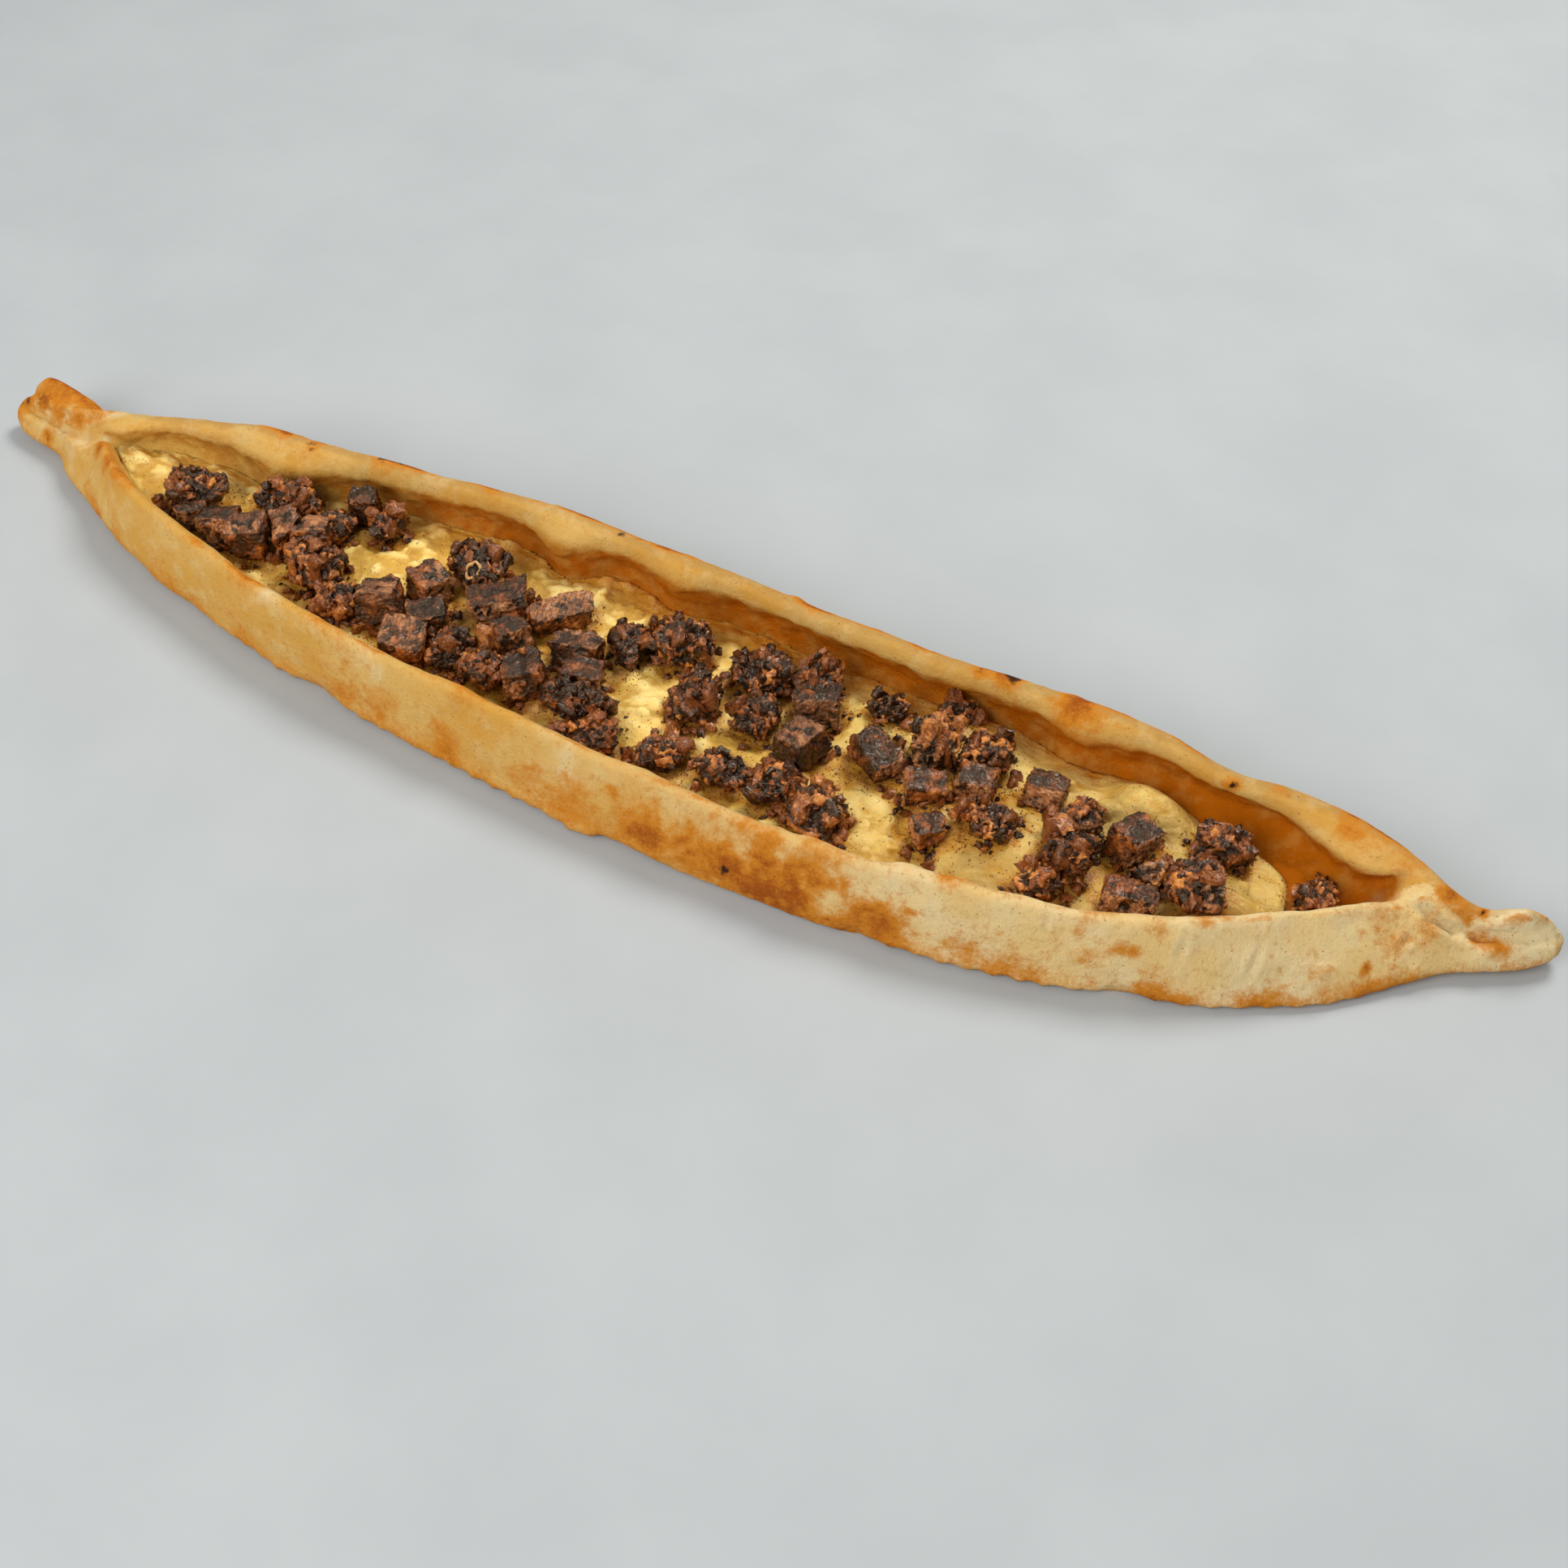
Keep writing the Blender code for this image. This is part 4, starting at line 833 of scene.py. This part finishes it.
def scatter_tree():
    """Small torn bits strewn over a surface where it is marked, each turned and sized at random."""
    tree = bpy.data.node_groups.new("strewn_bits", "GeometryNodeTree")
    face = tree.interface
    face.new_socket("Geometry", in_out="INPUT", socket_type="NodeSocketGeometry")
    for name, kind in (("Per Square Metre", "Float"), ("Smallest", "Float"), ("Largest", "Float"),
                       ("Points Along", "Int"), ("Seed", "Int"), ("Finish", "Material")):
        face.new_socket(name, in_out="INPUT", socket_type="NodeSocket" + kind)
    face.new_socket("Geometry", in_out="OUTPUT", socket_type="NodeSocketGeometry")
    add = tree.nodes.new
    link = tree.links.new
    given = add("NodeGroupInput")
    result = add("NodeGroupOutput")
    strewn = add("GeometryNodeInputNamedAttribute")
    strewn.data_type = "FLOAT"
    strewn.inputs["Name"].default_value = "strewn"
    density = add("ShaderNodeMath")
    density.operation = "MULTIPLY"
    link(given.outputs["Per Square Metre"], density.inputs[0])
    link(strewn.outputs["Attribute"], density.inputs[1])
    points = add("GeometryNodeDistributePointsOnFaces")
    link(given.outputs["Geometry"], points.inputs["Mesh"])
    link(density.outputs[0], points.inputs["Density"])
    link(given.outputs["Seed"], points.inputs["Seed"])
    kinds = add("GeometryNodeJoinGeometry")
    for kind in range(KINDS_OF_BIT):
        chunk = add("GeometryNodeMeshCube")
        for side in ("Vertices X", "Vertices Y", "Vertices Z"):
            link(given.outputs["Points Along"], chunk.inputs[side])
        lumps = add("ShaderNodeTexNoise")
        lumps.noise_dimensions = "4D"
        lumps.inputs["W"].default_value = 2.7 * kind
        lumps.inputs["Scale"].default_value = PUSHED_SCALE
        lumps.inputs["Detail"].default_value = 2.0
        centred = add("ShaderNodeVectorMath")
        centred.operation = "SUBTRACT"
        centred.inputs[1].default_value = (0.5, 0.5, 0.5)
        link(lumps.outputs["Color"], centred.inputs[0])
        larger = add("ShaderNodeVectorMath")
        larger.operation = "SCALE"
        larger.inputs["Scale"].default_value = PUSHED
        link(centred.outputs[0], larger.inputs[0])
        pushed = add("GeometryNodeSetPosition")
        link(chunk.outputs["Mesh"], pushed.inputs["Geometry"])
        link(larger.outputs[0], pushed.inputs["Offset"])
        one = add("GeometryNodeGeometryToInstance")
        link(pushed.outputs["Geometry"], one.inputs["Geometry"])
        link(one.outputs["Instances"], kinds.inputs["Geometry"])
    turn = add("FunctionNodeRandomValue")
    turn.data_type = "FLOAT_VECTOR"
    turn.inputs["Max"].default_value = (math.tau, math.tau, math.tau)
    link(given.outputs["Seed"], turn.inputs["Seed"])
    stretch = add("FunctionNodeRandomValue")
    stretch.data_type = "FLOAT_VECTOR"
    stretch.inputs["Min"].default_value = LEAST_STRETCH
    stretch.inputs["Max"].default_value = MOST_STRETCH
    link(given.outputs["Seed"], stretch.inputs["Seed"])
    size = add("FunctionNodeRandomValue")
    size.data_type = "FLOAT"
    link(given.outputs["Smallest"], size.inputs[2])
    link(given.outputs["Largest"], size.inputs[3])
    link(given.outputs["Seed"], size.inputs["Seed"])
    scale = add("ShaderNodeVectorMath")
    scale.operation = "SCALE"
    link(stretch.outputs[0], scale.inputs[0])
    link(size.outputs[1], scale.inputs["Scale"])
    placed = add("GeometryNodeInstanceOnPoints")
    placed.inputs["Pick Instance"].default_value = True
    link(points.outputs["Points"], placed.inputs["Points"])
    link(kinds.outputs["Geometry"], placed.inputs["Instance"])
    link(turn.outputs[0], placed.inputs["Rotation"])
    link(scale.outputs[0], placed.inputs["Scale"])
    shade = add("FunctionNodeRandomValue")
    shade.data_type = "FLOAT"
    link(given.outputs["Seed"], shade.inputs["Seed"])
    toned = add("GeometryNodeStoreNamedAttribute")
    toned.domain = "INSTANCE"
    toned.data_type = "FLOAT"
    toned.inputs["Name"].default_value = "shade"
    link(placed.outputs["Instances"], toned.inputs["Geometry"])
    link(shade.outputs[1], toned.inputs["Value"])
    real = add("GeometryNodeRealizeInstances")
    link(toned.outputs["Geometry"], real.inputs["Geometry"])
    finish = add("GeometryNodeSetMaterial")
    link(real.outputs["Geometry"], finish.inputs["Geometry"])
    link(given.outputs["Finish"], finish.inputs["Material"])
    link(finish.outputs["Geometry"], result.inputs["Geometry"])
    return tree


def scrap_finish(name, dark, middle, light):
    """Torn bits, each of its own shade between a dark, a middle and a light tone."""
    made = Finish(name)
    small = made.noise(0.9, 3.0, 0.6)
    middling = made.noise(2.4, 3.0, 0.6)
    each = made.plus(made.times(made.kept("shade"), 0.72), made.kept("lot"))
    each = made.plus(each, made.swing(middling, 0.9))
    each = made.plus(each, made.swing(small, 0.6))
    tone = made.blend(made.fade(each, 0.22, 0.56), dark, middle)
    tone = made.blend(made.fade(each, 0.60, 0.86), tone, light)
    made.set(Base_Color=tone, Roughness=made.fade(small, 0.4, 0.7, 0.12, 0.36), **GLAZE)
    made.bump(made.plus(small, made.noise(0.6, 2.0, 0.6)), 0.35 * MM)
    return made.material


strewn_bits = scatter_tree()


def strew(name, marked_ground, per_square_metre, sizes, points_along, seed, finish):
    """Strew bits over a marked surface, sized in millimetres, and keep the bits alone as one plain mesh."""
    ground = bpy.data.objects.new(name, marked_ground)
    bpy.context.scene.collection.objects.link(ground)
    bits = ground.modifiers.new("bits", "NODES")
    bits.node_group = strewn_bits
    values = {"Per Square Metre": per_square_metre, "Smallest": sizes[0] * MM, "Largest": sizes[1] * MM,
              "Points Along": points_along, "Seed": seed, "Finish": finish}
    for item in strewn_bits.interface.items_tree:
        if item.in_out == "INPUT" and item.name in values:
            bits[item.identifier] = values[item.name]
    made = applied(ground)
    set_positions(made, np.minimum(positions(made), cad_box[1]))
    made.shade_smooth()
    made.set_sharp_from_angle(angle=SHARP_EDGE)
    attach(ground, "root")


# Scraps lie close round the lumps, crumbs and spice further out, chunks and shards on the lumps themselves
at = positions(filling) / MM
upright = step(0.3, 0.8, normals(filling)[:, 2])
patchy = step(0.0, 0.5, grain(at, 9.0, 41, 2))
close = step(3.2, 0.0, reach) * upright
around = step(9.0, -1.0, reach) ** 2 * upright * (0.2 + patchy)
scrap_ground = filling.copy()
keep(scrap_ground, "strewn", close * step(-0.35, 0.35, grain(at, 12.0, 42)))
crumb_ground = filling.copy()
keep(crumb_ground, "strewn", around)
lump_ground = bmesh.new()
for flesh in lump_meshes:
    lump_ground.from_mesh(flesh)
cover_ground = bpy.data.meshes.new("lump_cover")
lump_ground.to_mesh(cover_ground)
lump_ground.free()
keep(cover_ground, "strewn", np.concatenate(lump_cover))
keep(cover_ground, "lot", np.concatenate(lump_lots))
torn_meat = scrap_finish("torn_meat", (0.024, 0.008, 0.003), (0.22, 0.058, 0.013), (0.56, 0.20, 0.045))
ground_meat = scrap_finish("meat_crumb", (0.14, 0.036, 0.006), (0.30, 0.095, 0.012), (0.46, 0.17, 0.02))
strew("meat_scraps", scrap_ground, 200000.0, (1.0, 3.2), points_along=3, seed=3, finish=torn_meat)
strew("meat_chunks", cover_ground, 15000.0, (2.4, 4.8), points_along=4, seed=8, finish=torn_meat)
strew("meat_shards", cover_ground, 60000.0, (0.8, 2.1), points_along=3, seed=5, finish=torn_meat)
strew("meat_crumbs", crumb_ground, 900000.0, (0.20, 0.55), points_along=2, seed=4, finish=ground_meat)


# A ring of fat: the curled rim of a vein in the big crumbly lump near the far rim, cooked pale and waxy.
RING_PIXEL = (583, 703)
RING_SIZE = (1.7 * MM, 2.6 * MM)
RING_THICK = 0.55 * MM
RING_TILT = -0.35
AROUND_RING = 28
AROUND_WIRE = 8

ring_place = None
for flesh in lump_meshes:
    hit = tree_of(flesh).ray_cast(EYE, sight(*RING_PIXEL))[0]
    if hit is not None and (ring_place is None or (hit - EYE).length < (ring_place - EYE).length):
        ring_place = hit
if ring_place is not None:
    ring_mesh = bmesh.new()
    rows = []
    for i in range(AROUND_RING):
        turn = math.tau * i / AROUND_RING
        wide = 1.0 + 0.16 * math.sin(2.0 * turn + 0.6) + 0.08 * math.sin(5.0 * turn)
        middle = Vector((RING_SIZE[0] * wide * math.cos(turn), RING_SIZE[1] * wide * math.sin(turn),
                         0.35 * MM * math.sin(3.0 * turn)))
        outward = Vector((math.cos(turn), math.sin(turn), 0.0))
        thick = RING_THICK * (1.0 + 0.25 * math.sin(3.0 * turn + 1.0))
        row = []
        for j in range(AROUND_WIRE):
            roll = math.tau * j / AROUND_WIRE
            place = middle + outward * thick * math.cos(roll) + Vector((0.0, 0.0, thick * math.sin(roll)))
            row.append(ring_mesh.verts.new(place))
        rows.append(row)
    for i in range(AROUND_RING):
        after = rows[(i + 1) % AROUND_RING]
        for j in range(AROUND_WIRE):
            beside = (j + 1) % AROUND_WIRE
            ring_mesh.faces.new((rows[i][j], after[j], after[beside], rows[i][beside]))
    toward = (EYE - ring_place).normalized().to_track_quat("Z", "Y").to_matrix()
    tilted = toward @ Matrix.Rotation(RING_TILT, 3, "Z")
    seat = Matrix.Translation(ring_place) @ tilted.to_4x4()
    bmesh.ops.transform(ring_mesh, matrix=seat, verts=ring_mesh.verts)
    bmesh.ops.recalc_face_normals(ring_mesh, faces=ring_mesh.faces)
    ring_data = bpy.data.meshes.new("fat_ring")
    ring_mesh.to_mesh(ring_data)
    ring_mesh.free()
    ring_data.shade_smooth()
    waxy = Finish("cooked_fat")
    pale_fat, brown_fat = (0.62, 0.34, 0.11), (0.40, 0.17, 0.05)
    veined = waxy.fade(waxy.noise(1.2), 0.4, 0.65)
    waxy.set(Base_Color=waxy.blend(veined, pale_fat, brown_fat), Roughness=0.3)
    ring_data.materials.append(waxy.material)
    ring = bpy.data.objects.new("fat_ring", ring_data)
    bpy.context.scene.collection.objects.link(ring)
    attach(ring, "root")


# The stage: a plain pale floor under soft studio light, a broad lamp behind and a little to the right and a
# wider one in front to the left, so that the boat's wall and its filling are both seen.
FLOOR_HALF = 3.0
PALE_GREY, LIGHT_GREY = (0.398, 0.426, 0.441), (0.424, 0.452, 0.467)
SKY_STRENGTH = 0.43

floor_mesh = bpy.data.meshes.new("floor")
corners = [(x * FLOOR_HALF, y * FLOOR_HALF, 0) for x, y in ((-1, -1), (1, -1), (1, 1), (-1, 1))]
floor_mesh.from_pydata(corners, [], [(0, 1, 2, 3)])
floor = bpy.data.objects.new("floor", floor_mesh)
bpy.context.scene.collection.objects.link(floor)
matt = Finish("pale_floor")
clouded = matt.fade(matt.noise(60.0, 4.0), 0.3, 0.7)
matt.set(Base_Color=matt.blend(clouded, PALE_GREY, LIGHT_GREY), Roughness=0.8)
floor_mesh.materials.append(matt.material)


def lamp(name, place, size, watts, colour):
    """A round soft lamp that shines on the middle of the boat."""
    light = bpy.data.lights.new(name, "AREA")
    light.shape = "DISK"
    light.size = size
    light.energy = watts
    light.color = colour
    holder = bpy.data.objects.new(name, light)
    holder.location = place
    holder.rotation_euler = (-Vector(place)).to_track_quat("-Z", "Y").to_euler()
    bpy.context.scene.collection.objects.link(holder)


lamp("window", (0.20, 0.80, 1.22), size=0.55, watts=14.4, colour=(1.0, 0.98, 0.94))
lamp("front", (-0.35, -1.1, 0.95), size=1.1, watts=16.5, colour=(1.0, 0.98, 0.95))
sky = bpy.data.worlds.new("sky")
sky.use_nodes = True
dome = sky.node_tree.nodes["Background"]
dome.inputs["Color"].default_value = (1.0, 0.985, 0.96, 1.0)
dome.inputs["Strength"].default_value = SKY_STRENGTH
bpy.context.scene.world = sky
bpy.context.scene.view_settings.view_transform = "Standard"
